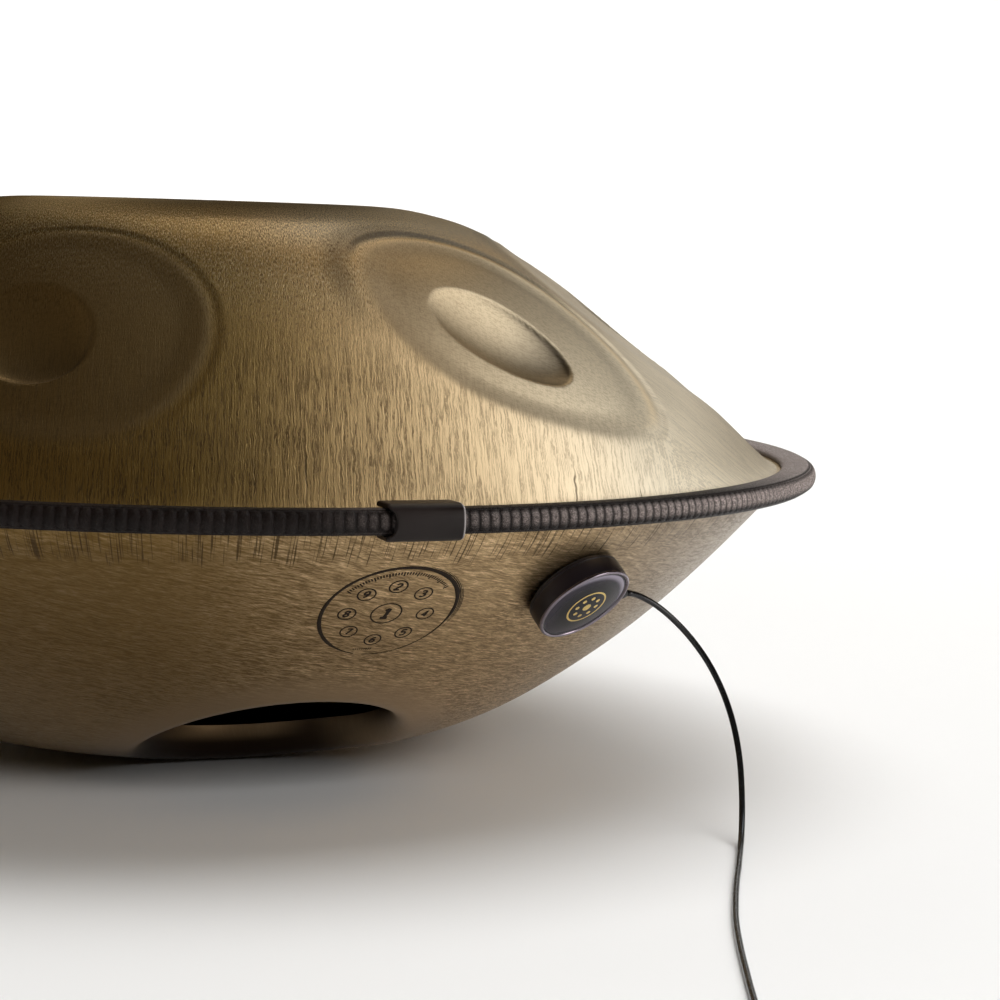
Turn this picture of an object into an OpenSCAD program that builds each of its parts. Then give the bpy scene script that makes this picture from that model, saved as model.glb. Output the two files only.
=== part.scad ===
// Handpan with a magnetic contact pickup, its cable and jack plug.
// Millimetres, +Z up. The origin is on the resting surface, under the centre of the pan.
// Azimuths are degrees from -Y, turning towards +X.

/* [Pan] */
// Outside diameter over the rim cover
pan_d = 560; // [530:1:600]
// Height of the rim's middle plane above the resting surface
rim_h = 132; // [125:0.5:140]
// Height of the top plateau above the rim's middle plane
top_rise = 112.5; // [105:0.5:120]
// Steel wall thickness
wall = 1.2; // [0.9:0.1:1.5]
// Outside radius of the two flanges
flange_r = 272.8; // [268:0.1:276]
// Thickness of the adhesive between the flanges
glue_t = 0.8; // [0.3:0.1:1]

/* [Tone fields] */
// Semi-axis of the largest oval field along its long direction
field_a = 75.9; // [55:0.1:80]
// Semi-axis of the largest oval field across
field_b = 65.7; // [40:0.1:70]
// How far a field lies below the shell's sweep
field_drop = 1.7; // [0.5:0.1:3]
// Depth of the oval dimple in the middle of a field
dimple_drop = 5; // [2:0.1:7]
// Turn of the ovals from the radial direction
field_turn = 33; // [0:1:60]

/* [Sound port] */
// Distance of the port's centre to the right of the pan's centre
port_x = 33; // [-20:1:60]
// Distance of the port's centre in front of the pan's centre
port_y = -118; // [-130:1:-90]
// Radius of the open throat
throat_r = 50; // [40:0.5:55]
// Width of the rolled lip
lip_w = 12; // [8:0.5:14]
// How far the lip turns into the body
lip_h = 15; // [8:0.5:18]

/* [Rim cover joint] */
// Azimuth of the joint sleeve's middle
sleeve_az = 17.5; // [0:0.05:40]
// Angle that the sleeve covers
sleeve_arc = 6.1; // [4:0.1:10]

/* [Pickup] */
// Azimuth of the pickup on the lower shell
pickup_az = 38.7; // [20:0.1:60]
// Distance of the pickup from the pan's axis
pickup_r = 238.4; // [225:0.1:245]
// Outside radius of the pickup
puck_r = 20.2; // [18:0.1:24]
// Height of the pickup's body up to its bezel
puck_h = 9.6; // [8:0.1:12]
// Cable outside diameter
cable_d = 2.5; // [2:0.1:4]

/* [Output] */
// Node to draw

/* [Hidden] */
NS = 72;
rim_r = pan_d / 2;
gap = glue_t / 2;
// Shell profiles as [radius, distance from the rim plane, slope]
top_t = [[0, top_rise, 0], [70, top_rise - 0.2, -0.01], [88, top_rise - 1, -0.09],
    [102, top_rise - 3.2, -0.22], [120, 104.4, -0.38], [150, 89.6, -0.61], [180, 69, -0.73],
    [210, 46, -0.8], [240, 20.8, -0.9], [255, 7, -0.88], [260.5, 2.6, -0.6],
    [263, gap + wall, 0], [280, gap + wall, 0]];
low_t = [[0, rim_h, 0], [28, rim_h, 0], [60, 130, -0.14], [90, 124.4, -0.21],
    [120, 117.2, -0.32], [150, 104.3, -0.55], [180, 84.8, -0.73], [210, 60.8, -0.9],
    [240, 31.2, -1.06], [256, 13.6, -1.12], [262.5, 5, -1.3],
    [265.5, gap + wall, 0], [280, gap + wall, 0]];
// Oval fields as [azimuth, radius, size factor]
fields = [[41.3, 186, 1], [84, 188, 0.97], [127, 190, 0.93], [169.5, 191, 0.9],
    [212, 192, 0.87], [254.5, 191, 0.9], [297.5, 190, 0.94], [340, 188, 0.98]];
top_r = [8, 16, 24, 31, 37, 46, 58, 70, 82, 91, 100, 110, 120, 130, 141, 152, 163, 174,
    185, 196, 207, 218, 229, 240, 249, 256, 260.5, 263, flange_r];

function seg(t, r, i = 0) = i >= len(t) - 2 || r < t[i + 1][0] ? i : seg(t, r, i + 1);
function herm(t, r) = let (i = seg(t, r), a = t[i], b = t[i + 1], h = b[0] - a[0],
    u = (r - a[0]) / h, v = 1 - u)
    (1 + 2 * u) * v * v * a[1] + u * v * v * h * a[2]
    + u * u * (3 - 2 * u) * b[1] - u * u * v * h * b[2];
function slope(t, r) = (herm(t, r + 0.05) - herm(t, max(r - 0.05, 0))) / 0.1;
function total(v, i = 0) = i >= len(v) ? 0 : v[i] + total(v, i + 1);
function smooth(x) = let (u = max(0, min(1, x))) u * u * (3 - 2 * u);
function az_dir(a) = [sin(a), -cos(a)];
function norm2(a, b) = sqrt(a * a + b * b);

// Depth of one field and its dimple at a point in plan
function field_dip(p, f) = let (d = az_dir(f[0]), s = (p * d - f[1]) * 1.27,
    t = p[0] * -d[1] + p[1] * d[0],
    u = (s * cos(field_turn) + t * sin(field_turn)) / f[2],
    v = (t * cos(field_turn) - s * sin(field_turn)) / f[2],
    e = pow(pow(abs(u - 0.8) / field_a, 1.8) + pow(abs(v - 10.9) / field_b, 1.8), 1 / 1.8),
    g = norm2(u / 33.6, v / 24.7))
    field_drop * smooth((1.03 - e) / 0.24) + dimple_drop * pow(max(0, 1 - g * g), 0.8);
function ding_dip(p) = 6 * pow(max(0, 1 - (p * p) / (37 * 37)), 0.9);
function top_z(p) = herm(top_t, norm(p)) - ding_dip(p) - total([for (f = fields) field_dip(p, f)]);

// Faces of a grid of rings, then of the two edges that close a shell
function sheet(nr, base, up) = [for (j = [0:nr - 2], i = [0:NS - 1], k = [0, 1])
    let (a = base + j * NS + i, b = base + j * NS + (i + 1) % NS, c = a + NS, d = b + NS)
    up ? (k == 0 ? [a, d, c] : [a, b, d]) : (k == 0 ? [a, c, d] : [a, d, b])];
function edge(top, low) = [for (i = [0:NS - 1], k = [0, 1]) let (j = (i + 1) % NS)
    k == 0 ? [top + i, top + j, low + j] : [top + i, low + j, low + i]];
function flip(f) = [for (t = f) [t[0], t[2], t[1]]];

module top_shell() {
    nr = len(top_r);
    rim = [for (r = top_r, i = [0:NS - 1]) r * az_dir(i * 360 / NS)];
    skin = [for (p = rim) [p[0], p[1], top_z(p)]];
    back = [for (q = skin) let (r = norm2(q[0], q[1]), s = r > 262.9 ? 0 : slope(top_t, r))
        [q[0], q[1], q[2] - wall * sqrt(1 + s * s)]];
    n = nr * NS;
    tip = [[0, 0, top_z([0, 0])], [0, 0, top_z([0, 0]) - wall]];
    caps = [for (i = [0:NS - 1], k = [0, 1]) let (j = (i + 1) % NS)
        k == 0 ? [2 * n, j, i] : [2 * n + 1, n + i, n + j]];
    color([0.66, 0.57, 0.42])
    translate([0, 0, rim_h])
    polyhedron(concat(skin, back, tip), concat(sheet(nr, 0, true), sheet(nr, n, false),
        edge((nr - 1) * NS, n + (nr - 1) * NS), caps));
}

// Lower shell: rings run from the port's throat out to the flange
port_c = [port_x, port_y];
lip_steps = [90, 75, 60, 45, 30, 15];
spread = 16;
function low_z(p) = -herm(low_t, norm(p));
function wall_up(p) = let (r = norm(p), s = r > 265.4 ? 0 : slope(low_t, r)) wall * sqrt(1 + s * s);
function lip_out(a, w) = let (q = port_c + (throat_r + lip_w * (1 - sin(a))) * w)
    [q[0], q[1], low_z(q) + lip_h * (1 - cos(a))];
function lip_in(a, w) = let (c = [lip_h * sin(a), lip_w * cos(a)], m = norm(c),
    r = throat_r + lip_w * (1 - sin(a)), q = port_c + (r + wall * c[0] / m) * w,
    o = port_c + r * w)
    [q[0], q[1], low_z(o) + lip_h * (1 - cos(a)) + wall_up(o) * c[1] / m];
low_rings = [for (k = [0:spread]) let (s = k / spread)
    [throat_r + lip_w + (250 - throat_r - lip_w) * s, pow(1 - s, 1.15)]];
low_edge = [[256, 0], [260, 0], [262.5, 0], [265.5, 0], [flange_r, 0]];

module bottom_shell() {
    dirs = [for (i = [0:NS - 1]) az_dir(i * 360 / NS)];
    rings = concat(low_rings, low_edge);
    nr = len(lip_steps) + len(rings);
    n = nr * NS;
    plan = [for (g = rings, w = dirs) g[1] * port_c + g[0] * w];
    outer = concat([for (a = lip_steps, w = dirs) lip_out(a, w)],
        [for (p = plan) [p[0], p[1], low_z(p)]]);
    inner = concat([for (a = lip_steps, w = dirs) lip_in(a, w)],
        [for (p = plan) [p[0], p[1], low_z(p) + wall_up(p)]]);
    color([0.50, 0.41, 0.29])
    translate([0, 0, rim_h])
    polyhedron(concat(outer, inner), concat(sheet(nr, 0, false), sheet(nr, n, true),
        edge(n + (nr - 1) * NS, (nr - 1) * NS), flip(edge(n, 0))));
}

module ring(r1, r2, z1, z2) {
    translate([0, 0, rim_h])
    rotate_extrude($fn = 180)
    translate([r1, z1])
    square([r2 - r1, z2 - z1]);
}

module flange_adhesive() {
    color([0.75, 0.72, 0.62])
    ring(266, 271.8, -gap, gap);
}

// A profile turned about the pan's axis, with a small gap at the cover's joint
module open_ring() {
    translate([0, 0, rim_h])
    rotate_extrude(angle = 359.8, start = sleeve_az - 90 + 0.1, $fn = 180)
    children();
}

clip_in = gap + wall;
clip_out = clip_in + 0.6;
module rim_clip_strip() {
    color([0.70, 0.70, 0.72])
    open_ring()
    difference() {
        translate([267.6, -clip_out])
        square([6.2, 2 * clip_out]);
        translate([267, -clip_in])
        square([6.2, 2 * clip_in]);
    }
}

cover_pts = [[264.4, 2.6], [264.5, 3.4], [265.4, 4.1], [268, 4.5], [273.6, 4.9], [276.3, 4.7],
    [276.9, 4], [277.6, 3.9], [278.6, 3.4], [279.5, 2.2], [rim_r, 0.6], [rim_r, -0.8],
    [279.5, -2.5], [278.5, -3.8], [276.9, -4.8], [273.6, -5.3], [269.6, -5.3], [267.6, -4.7],
    [267, -3.9], [267, -clip_in], [267.6, -clip_in], [267.6, -clip_out], [273.8, -clip_out],
    [273.8, clip_out], [267.6, clip_out], [267.6, clip_in], [264.4, clip_in]];
module rim_cover() {
    color([0.13, 0.11, 0.11])
    open_ring()
    polygon(cover_pts);
}

sleeve_out = [[266.4, -5.4], [267.4, -6.8], [269, -7.2], [278.4, -7.2], [280.8, -6], [282, -3.2],
    [282, 3], [280.8, 5.8], [278.6, 6.9], [267.4, 6.9], [266.2, 6.3], [265.8, 5]];
sleeve_in = [[268.2, -5.5], [279.2, -5.5], [280.4, -3.4], [280.4, 3.4], [279.2, 5.1],
    [267.4, 5.1], [264, 5.6], [264, -3.4], [266, -3.4]];
module rim_joint_sleeve() {
    color([0.08, 0.06, 0.06])
    translate([0, 0, rim_h])
    rotate_extrude(angle = sleeve_arc, start = sleeve_az - sleeve_arc / 2 - 90, $fn = 180)
    difference() {
        polygon(sleeve_out);
        polygon(sleeve_in);
    }
}

// Pickup frame: +Z away from the shell, +X down its slope, +Y round the pan
pickup_slope = atan(-slope(low_t, pickup_r));
module at_pickup() {
    translate([pickup_r * sin(pickup_az), -pickup_r * cos(pickup_az),
        rim_h - herm(low_t, pickup_r)])
    rotate([0, 180 - pickup_slope, pickup_az - 90])
    children();
}
module disc(r, z1, z2) {
    translate([0, 0, z1])
    cylinder(r = r, h = z2 - z1, $fn = 72);
}
module three(r, turn) {
    for (k = [0:2])
        rotate([0, 0, turn + 120 * k])
        translate([r, 0, 0])
        children();
}

module contact_pad() {
    color([0.10, 0.10, 0.10])
    at_pickup()
    disc(18.4, 0.12, 1);
}
module pickup_base_plate() {
    color([0.20, 0.20, 0.21])
    at_pickup()
    difference() {
        disc(17.7, 1, 2.6);
        disc(7.6, 0.5, 3);
        three(12.2, 0)
        disc(3, 0.5, 3);
        three(14.6, 60)
        disc(1.25, 0.5, 3);
        three(14.6, 60)
        disc(2.1, 0.5, 1.8);
    }
}
module pickup_magnets() {
    color([0.80, 0.80, 0.82])
    at_pickup()
    three(12.2, 0)
    disc(3, 1, 5);
}
module base_screws() {
    color([0.62, 0.62, 0.64])
    at_pickup()
    three(14.6, 60)
    difference() {
        union() {
            disc(2, 1.05, 1.8);
            disc(0.9, 1.8, 5.4);
        }
        translate([-1.2, -0.22, 0.9])
        cube([2.4, 0.44, 0.6]);
        translate([-0.22, -1.2, 0.9])
        cube([0.44, 2.4, 0.6]);
    }
}
module piezo_disc() {
    color([0.80, 0.64, 0.28])
    at_pickup()
    disc(7.4, 1, 1.25);
}
module piezo_ceramic() {
    color([0.86, 0.85, 0.80])
    at_pickup()
    disc(5, 1.25, 1.5);
}
module damping_foam() {
    color([0.16, 0.16, 0.17])
    at_pickup()
    difference() {
        disc(6.4, 1.5, 7.4);
        translate([-1, 2, 1])
        cube([2, 6, 4]);
    }
}

lead_a = [[-0.6, 14.6, 7], [-1.2, 13.4, 6.4], [-1.2, 11.6, 5.4], [-0.9, 9.8, 4.3],
    [-0.3, 8, 3.4], [0, 6.6, 2.9], [0, 5.6, 2.4], [0, 4.2, 1.95]];
lead_b = [[0.7, 14.6, 7], [1.7, 13.4, 6.4], [2.6, 11.6, 5.4], [3.2, 9.8, 4.5], [3.15, 8.4, 3.9],
    [3.05, 7.3, 3.5], [3, 6.45, 2.8], [3, 6.36, 1.3]];
module signal_leads() {
    color([0.75, 0.20, 0.16])
    at_pickup() {
        tube(lead_a, 0.4, [1, 0, 0], 6);
        tube(lead_b, 0.4, [1, 0, 0], 6);
    }
}

exit_z = 7;
module pickup_housing() {
    color([0.09, 0.08, 0.09])
    at_pickup()
    difference() {
        union() {
            difference() {
                disc(puck_r, 1, puck_h);
                disc(17.8, 0, 7.4);
            }
            three(14.6, 60)
            disc(2.4, 2.6, 8);
        }
        three(14.6, 60)
        disc(0.9, 2, 6);
        translate([0, 14, exit_z])
        rotate([-90, 0, 0])
        cylinder(r = 1.9, h = 10, $fn = 48);
    }
}
module pickup_bezel() {
    color([0.55, 0.54, 0.55])
    at_pickup()
    translate([0, 0, puck_h])
    rotate_extrude($fn = 96)
    polygon([[18.7, 0], [puck_r, 0], [puck_r, 0.7], [19.9, 1.05], [19.4, 1.2], [18.7, 1.2]]);
}
module badge_plate() {
    color([0.05, 0.05, 0.06])
    at_pickup()
    disc(18.6, puck_h, puck_h + 0.6);
}

dome_r = 18.2;
dome_rise = 1.6;
module cap(extra) {
    rotate_extrude($fn = 96)
    translate([0, puck_h + 0.6])
    polygon(concat([[0, 0], [dome_r, 0]], [for (k = [0:7])
        [dome_r * (1 - k / 8), extra + dome_rise * (1 - pow(1 - (k + 0.5) / 8, 2))]],
        [[0, extra + dome_rise]]));
}
module badge_dome() {
    color([0.16, 0.17, 0.19])
    at_pickup()
    cap(0);
}
// Plain pictogram: a ring round a dot, with eight dots between them
module badge_emblem() {
    color([0.80, 0.63, 0.24])
    at_pickup()
    difference() {
        intersection() {
            cap(0.12);
            union() {
                difference() {
                    disc(9, 5, 15);
                    disc(8.2, 4, 16);
                }
                disc(1.9, 5, 15);
                for (k = [0:7])
                    rotate([0, 0, 45 * k])
                    translate([5.2, 0, 0])
                    disc(0.95, 5, 15);
            }
        }
        cap(0);
    }
}
module cable_grommet() {
    color([0.07, 0.07, 0.07])
    at_pickup()
    translate([0, 15.6, exit_z])
    rotate([-90, 0, 0])
    difference() {
        union() {
            // The inner flange is cut flat under the housing's roof
            difference() {
                cylinder(r = 2.3, h = 1.4, $fn = 48);
                translate([-3, -3, -1])
                cube([6, 2.65, 3]);
            }
            cylinder(r = 1.9, h = 7, $fn = 48);
            translate([0, 0, 5])
            cylinder(r = 2.3, h = 2, $fn = 48);
            translate([0, 0, 7])
            cylinder(r1 = 2.3, r2 = 1.7, h = 3, $fn = 48);
        }
        translate([0, 0, -1])
        cylinder(r = cable_d / 2, h = 14, $fn = 48);
    }
}
module cable_end() {
    color([0.05, 0.05, 0.05])
    at_pickup()
    translate([0, 15, exit_z])
    rotate([-90, 0, 0])
    cylinder(r = cable_d / 2, h = 10.6, $fn = 48);
}

// Route of the cable from the pickup to the coil, as laid out by hand
route = [[172.9, -174, 94.4], [177, -170.9, 93.4], [181.4, -168.2, 91.4], [186.2, -166, 88.6],
    [190.8, -164.6, 85.2], [195.4, -163.8, 81.2], [200, -163.6, 76.6], [204.4, -164.2, 71.4],
    [208.4, -165.6, 65.8], [211.8, -167.6, 59.8], [214.6, -170.2, 53.6], [216.8, -173.2, 47.2],
    [218.4, -176.8, 40.6], [219.4, -180.8, 33.8], [219.8, -185.4, 27], [219.6, -190.4, 20.4],
    [219, -196, 14.2], [218, -202.2, 8.8], [216.6, -209.4, 4.6], [214.8, -217.6, 2.2],
    [212.8, -227, 1.4], [210.4, -238, 1.3], [207.4, -252, 1.3], [203.8, -268, 1.3],
    [200, -286, 1.3], [196.4, -304, 1.3], [193, -322, 1.3], [190, -340, 1.3], [187.4, -358, 1.3],
    [185, -376, 1.3], [182.8, -394, 1.3], [180.6, -412, 1.3], [178.6, -430, 1.3],
    [176.8, -448, 1.3], [175.4, -466, 1.3], [174.6, -484, 1.3], [174.2, -500, 1.3],
    [174, -512, 1.3]];
tail = [[124, -573.2, 1.6], [116, -573.2, 1.9], [108, -573.2, 2.8], [101, -573.2, 4],
    [94, -573.2, 5.2], [87, -573.2, 6.2], [80, -573.2, 6.8], [74, -573.2, 7]];

function mid(p, i) = let (a = p[max(i - 1, 0)], b = p[i], c = p[i + 1],
    d = p[min(i + 2, len(p) - 1)]) (9 * (b + c) - a - d) / 16;
function finer(p) = [for (i = [0:len(p) - 1], k = [0, 1])
    if (k == 0 || i < len(p) - 1) k == 0 ? p[i] : mid(p, i)];
function unit(v) = v / norm(v);
module tube(p, r, ref, n = 8) {
    m = len(p);
    pts = [for (i = [0:m - 1]) let (t = unit(p[min(i + 1, m - 1)] - p[max(i - 1, 0)]),
        s = unit(cross(t, ref)), u = cross(s, t)) for (k = [0:n - 1])
        p[i] + r * (cos(k * 360 / n) * s + sin(k * 360 / n) * u)];
    side = [for (i = [0:m - 2], k = [0:n - 1], h = [0, 1])
        let (a = i * n + k, b = i * n + (k + 1) % n)
        h == 0 ? [a, a + n, b + n] : [a, b + n, b]];
    polyhedron(pts, concat(side, [[for (k = [0:n - 1]) k]],
        [[for (k = [n - 1:-1:0]) (m - 1) * n + k]]));
}
module pickup_cable() {
    color([0.05, 0.05, 0.05])
    tube(finer(route), cable_d / 2, [1, 0, 0]);
}
coil_c = [126, -525, 0];
module cable_coil() {
    color([0.05, 0.05, 0.05])
    translate(coil_c)
    rotate_extrude($fn = 96)
    polygon([[42, 0], [49.4, 0], [50, 1.5], [50, 7], [48.6, 8.8], [43.4, 8.8], [42, 7]]);
}
module coil_tie() {
    color([0.10, 0.10, 0.11])
    translate(coil_c)
    rotate([0, 0, 115])
    translate([0, 6, 0])
    rotate([90, 0, 0])
    linear_extrude(12)
    difference() {
        polygon([[40.6, 0], [51.4, 0], [51.4, 8], [49.4, 10.2], [42.6, 10.2], [40.6, 8]]);
        polygon([[41.8, -1], [50.2, -1], [50.2, 7.6], [48.8, 9], [43.2, 9], [41.8, 7.6]]);
    }
}
module cable_tail() {
    color([0.05, 0.05, 0.05])
    tube(tail, cable_d / 2, [0, 1, 0]);
}

// Jack plug lying on the surface, tip towards -X
module at_plug() {
    translate([74, -573.2, 7])
    rotate([0, -90, 0])
    children();
}
shaft_r = 3.175;
neck_r = 2.7;
module rod(r, z1, z2) {
    translate([0, 0, z1])
    cylinder(r = r, h = z2 - z1, $fn = 72);
}
module plug_boot() {
    color([0.07, 0.07, 0.07])
    at_plug()
    difference() {
        rotate_extrude($fn = 72)
        polygon([[0, -14], [2.1, -14], [2.5, -12], [3.6, 0], [3.6, 4], [0, 4]]);
        translate([0, 0, -15])
        cylinder(r = cable_d / 2, h = 15, $fn = 48);
    }
}
module plug_barrel() {
    color([0.12, 0.12, 0.13])
    at_plug()
    difference() {
        rotate_extrude($fn = 96)
        polygon([[0, 0.5], [5, 0.5], [6.2, 2.5], [7, 6], [7, 27], [6.4, 28.5], [6.4, 33],
            [5.6, 34], [0, 34]]);
        rod(3.6, 0, 4);
        rod(4.8, 4, 31);
        rod(neck_r, 30, 35);
    }
}
module plug_sleeve_contact() {
    color([0.80, 0.80, 0.80])
    at_plug()
    difference() {
        union() {
            rod(4.8, 29, 31);
            rod(neck_r, 31, 34);
            rod(shaft_r, 34, 55.4);
        }
        rod(1.9, 28, 56);
    }
}
module plug_insulator() {
    color([0.08, 0.08, 0.08])
    at_plug()
    difference() {
        union() {
            rod(1.9, 26, 55.4);
            rod(shaft_r, 55.4, 56.6);
        }
        rod(1.2, 25, 57);
    }
}
module plug_tip_contact() {
    color([0.82, 0.82, 0.82])
    at_plug()
    rotate_extrude($fn = 72)
    polygon([[0, 24], [1.2, 24], [1.2, 56.6], [shaft_r, 56.6], [shaft_r, 58.2], [2.2, 60.2],
        [2.6, 61.4], [3.1, 62], [2.9, 63], [0.8, 65.6], [0, 65.8]]);
}

top_shell();
bottom_shell();
flange_adhesive();
rim_clip_strip();
rim_cover();
rim_joint_sleeve();
contact_pad();
pickup_base_plate();
pickup_magnets();
base_screws();
piezo_disc();
piezo_ceramic();
damping_foam();
signal_leads();
pickup_housing();
pickup_bezel();
badge_plate();
badge_dome();
badge_emblem();
cable_grommet();
cable_end();
pickup_cable();
cable_coil();
coil_tie();
cable_tail();
plug_boot();
plug_barrel();
plug_sleeve_contact();
plug_insulator();
plug_tip_contact();
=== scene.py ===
import math

import bmesh
import bpy
import numpy as np
from mathutils import Matrix, Vector


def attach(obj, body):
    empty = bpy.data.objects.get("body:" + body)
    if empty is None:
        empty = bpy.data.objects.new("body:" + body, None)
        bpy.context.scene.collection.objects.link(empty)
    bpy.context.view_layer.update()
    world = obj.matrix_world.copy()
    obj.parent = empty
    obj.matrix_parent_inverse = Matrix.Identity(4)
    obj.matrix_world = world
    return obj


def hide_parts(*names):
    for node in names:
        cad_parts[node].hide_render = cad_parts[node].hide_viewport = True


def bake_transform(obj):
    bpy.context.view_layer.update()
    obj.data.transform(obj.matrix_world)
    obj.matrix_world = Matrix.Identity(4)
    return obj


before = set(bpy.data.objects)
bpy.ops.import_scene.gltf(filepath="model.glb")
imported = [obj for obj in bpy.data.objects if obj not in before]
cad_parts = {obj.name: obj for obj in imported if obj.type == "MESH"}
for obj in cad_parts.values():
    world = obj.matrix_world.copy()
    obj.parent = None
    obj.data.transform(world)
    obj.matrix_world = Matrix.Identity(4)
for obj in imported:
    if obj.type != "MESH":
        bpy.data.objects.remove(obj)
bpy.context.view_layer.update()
MM = 0.001
TAU = 2 * math.pi
scene = bpy.context.scene

# ---- camera
# Fitted to the photo's near rim, round marking and pickup; places are in metres
CAMERA_AT = (0, -1.2845, 0.2512)
LOOK = Vector((0.1075, 0.9884, -0.1072)).normalized()
ABOUT_RIGHT = Vector((0.994, -0.1046, 0.032))
SENSOR_MM, LENS_MM, CLIP_END = 36, 101.88, 60
cam_data = bpy.data.cameras.new("camera")
cam_data.sensor_width = SENSOR_MM
cam_data.lens = LENS_MM
cam_data.clip_end = CLIP_END
cam = bpy.data.objects.new("camera", cam_data)
scene.collection.objects.link(cam)
cam_right = (ABOUT_RIGHT - LOOK * ABOUT_RIGHT.dot(LOOK)).normalized()
turn = Matrix((cam_right, cam_right.cross(LOOK), -LOOK)).transposed().to_4x4()
cam.matrix_world = Matrix.Translation(CAMERA_AT) @ turn
scene.camera = cam


# ---- materials
class Tree:
    """A new material with one Principled shader, and short names for the nodes that feed it."""

    def __init__(self, name):
        self.mat = bpy.data.materials.new(name)
        self.mat.use_nodes = True
        self.nt = self.mat.node_tree
        self.nt.nodes.clear()
        out = self.node("ShaderNodeOutputMaterial")
        self.shader = self.node("ShaderNodeBsdfPrincipled")
        self.nt.links.new(self.shader.outputs[0], out.inputs[0])

    def put(self, socket, value):
        if isinstance(value, bpy.types.NodeSocket):
            self.nt.links.new(value, socket)
        elif isinstance(value, (tuple, list)) and len(value) == 3 and len(socket.default_value) == 4:
            socket.default_value = (*value, 1)
        else:
            socket.default_value = value

    def node(self, kind, **props):
        n = self.nt.nodes.new(kind)
        for k, v in props.items():
            setattr(n, k, v)
        return n

    def fed(self, kind, values, **props):
        """A node whose first inputs, or those named in a dict, take the values."""
        n = self.node(kind, **props)
        for k, v in values.items() if isinstance(values, dict) else enumerate(values):
            self.put(n.inputs[k], v)
        return n

    def math(self, op, *values, clamp=False):
        return self.fed("ShaderNodeMath", values, operation=op, use_clamp=clamp).outputs[0]

    def mul(self, a, b, clamp=False):
        return self.math("MULTIPLY", a, b, clamp=clamp)

    def add(self, a, b):
        return self.math("ADD", a, b)

    def sub(self, a, b):
        return self.math("SUBTRACT", a, b)

    def madd(self, a, b, c):
        return self.math("MULTIPLY_ADD", a, b, c)

    def mix(self, f, a, b):
        return self.fed("ShaderNodeMix", {0: f, 6: a, 7: b}, data_type="RGBA").outputs[2]

    def over(self, colour, *layers):
        """The colour with each (amount, colour) laid over it in turn."""
        for amount, layer in layers:
            colour = self.mix(amount, colour, layer)
        return colour

    def lerp(self, f, a, b):
        return self.fed("ShaderNodeMix", {0: f, 2: a, 3: b}, data_type="FLOAT").outputs[0]

    def vec(self, x, y, z):
        return self.fed("ShaderNodeCombineXYZ", (x, y, z)).outputs[0]

    def noise(self, v, scale=1.0, detail=2.0, rough=0.5):
        values = {"Vector": v, "Scale": scale, "Detail": detail, "Roughness": rough}
        return self.fed("ShaderNodeTexNoise", values).outputs[0]

    def cells(self, v, scale, feature="F1"):
        n = self.fed("ShaderNodeTexVoronoi", {"Vector": v, "Scale": scale}, feature=feature)
        return n.outputs["Distance"]

    def ramp(self, x, low, high, a=0.0, b=1.0, kind="SMOOTHSTEP"):
        return self.fed("ShaderNodeMapRange", (x, low, high, a, b), interpolation_type=kind).outputs[0]

    def bump(self, height, strength, distance):
        values = {"Strength": strength, "Distance": distance, "Height": height}
        return self.fed("ShaderNodeBump", values).outputs[0]

    def attr(self, name):
        return self.node("ShaderNodeAttribute", attribute_name=name).outputs["Fac"]

    def place(self):
        return self.node("ShaderNodeTexCoord").outputs["Object"]

    def xyz(self):
        return self.fed("ShaderNodeSeparateXYZ", [self.place()]).outputs

    def radius(self, x, y):
        return self.math("SQRT", self.add(self.mul(x, x), self.mul(y, y)))

    def round_axis(self):
        """The tangent that runs round the pan's axis."""
        return self.node("ShaderNodeTangent", direction_type="RADIAL", axis="Z").outputs[0]

    def shade(self, **values):
        """Feeds the shader's inputs, named with _ for a space, and gives the material."""
        for k, v in values.items():
            self.put(self.shader.inputs[k.replace("_", " ")], v)
        return self.mat


# The steel's colours: TOP and LOW for the two shells, WORN for the tone fields; the LEFT and RIGHT ones are
# painted shade and light, and the crown's is a painted reflection
TOP_GOLD, TOP_GOLD_DEEP, TOP_LINE = (0.83, 0.545, 0.25), (0.75, 0.485, 0.21), (0.115, 0.065, 0.024)
TOP_LEFT_PAINTED_SHADE, TOP_RIGHT_PAINTED_LIGHT, TOP_FAR_RIGHT_PAINTED_LIGHT = (0.44, 0.28, 0.06), (0.70, 0.58, 0.405), (0.95, 0.80, 0.575)
TOP_SCRATCH, CROWN_PAINTED_REFLECTION, GLITTER = (0.12, 0.085, 0.045), (0.62, 0.57, 0.50), (1.0, 0.84, 0.54)
WORN_LEFT_PAINTED_SHADE, WORN_RIGHT_PAINTED_LIGHT, WORN_LINE = (0.41, 0.295, 0.165), (0.71, 0.585, 0.40), (0.20, 0.14, 0.075)
SHADE_DARK, SHADE_LIGHT = (0.07, 0.05, 0.028), (0.86, 0.66, 0.40)
LOW_TAN, LOW_TAN_DEEP, LOW_GLINT = (0.53, 0.375, 0.20), (0.47, 0.33, 0.175), (0.84, 0.62, 0.37)
LOW_LINE, LOW_LEFT_PAINTED_SHADE, LOW_RIGHT_PAINTED_SHADE = (0.15, 0.095, 0.045), (0.15, 0.084, 0.013), (0.20, 0.16, 0.115)
LOW_SCRATCH, LIP_PAINTED_SHADE, PORT_SHADE_COLOUR = (0.07, 0.045, 0.022), (0.30, 0.20, 0.13), (0.030, 0.018, 0.012)
# The upper shell's brushing: scale across, scale along and detail of the long strokes, the
# short ones, the scratches and the thin lines
BRUSH = (1350, 66, 3), (2500, 460, 3), (520, 18, 1), (700, 30, 2)


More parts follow.
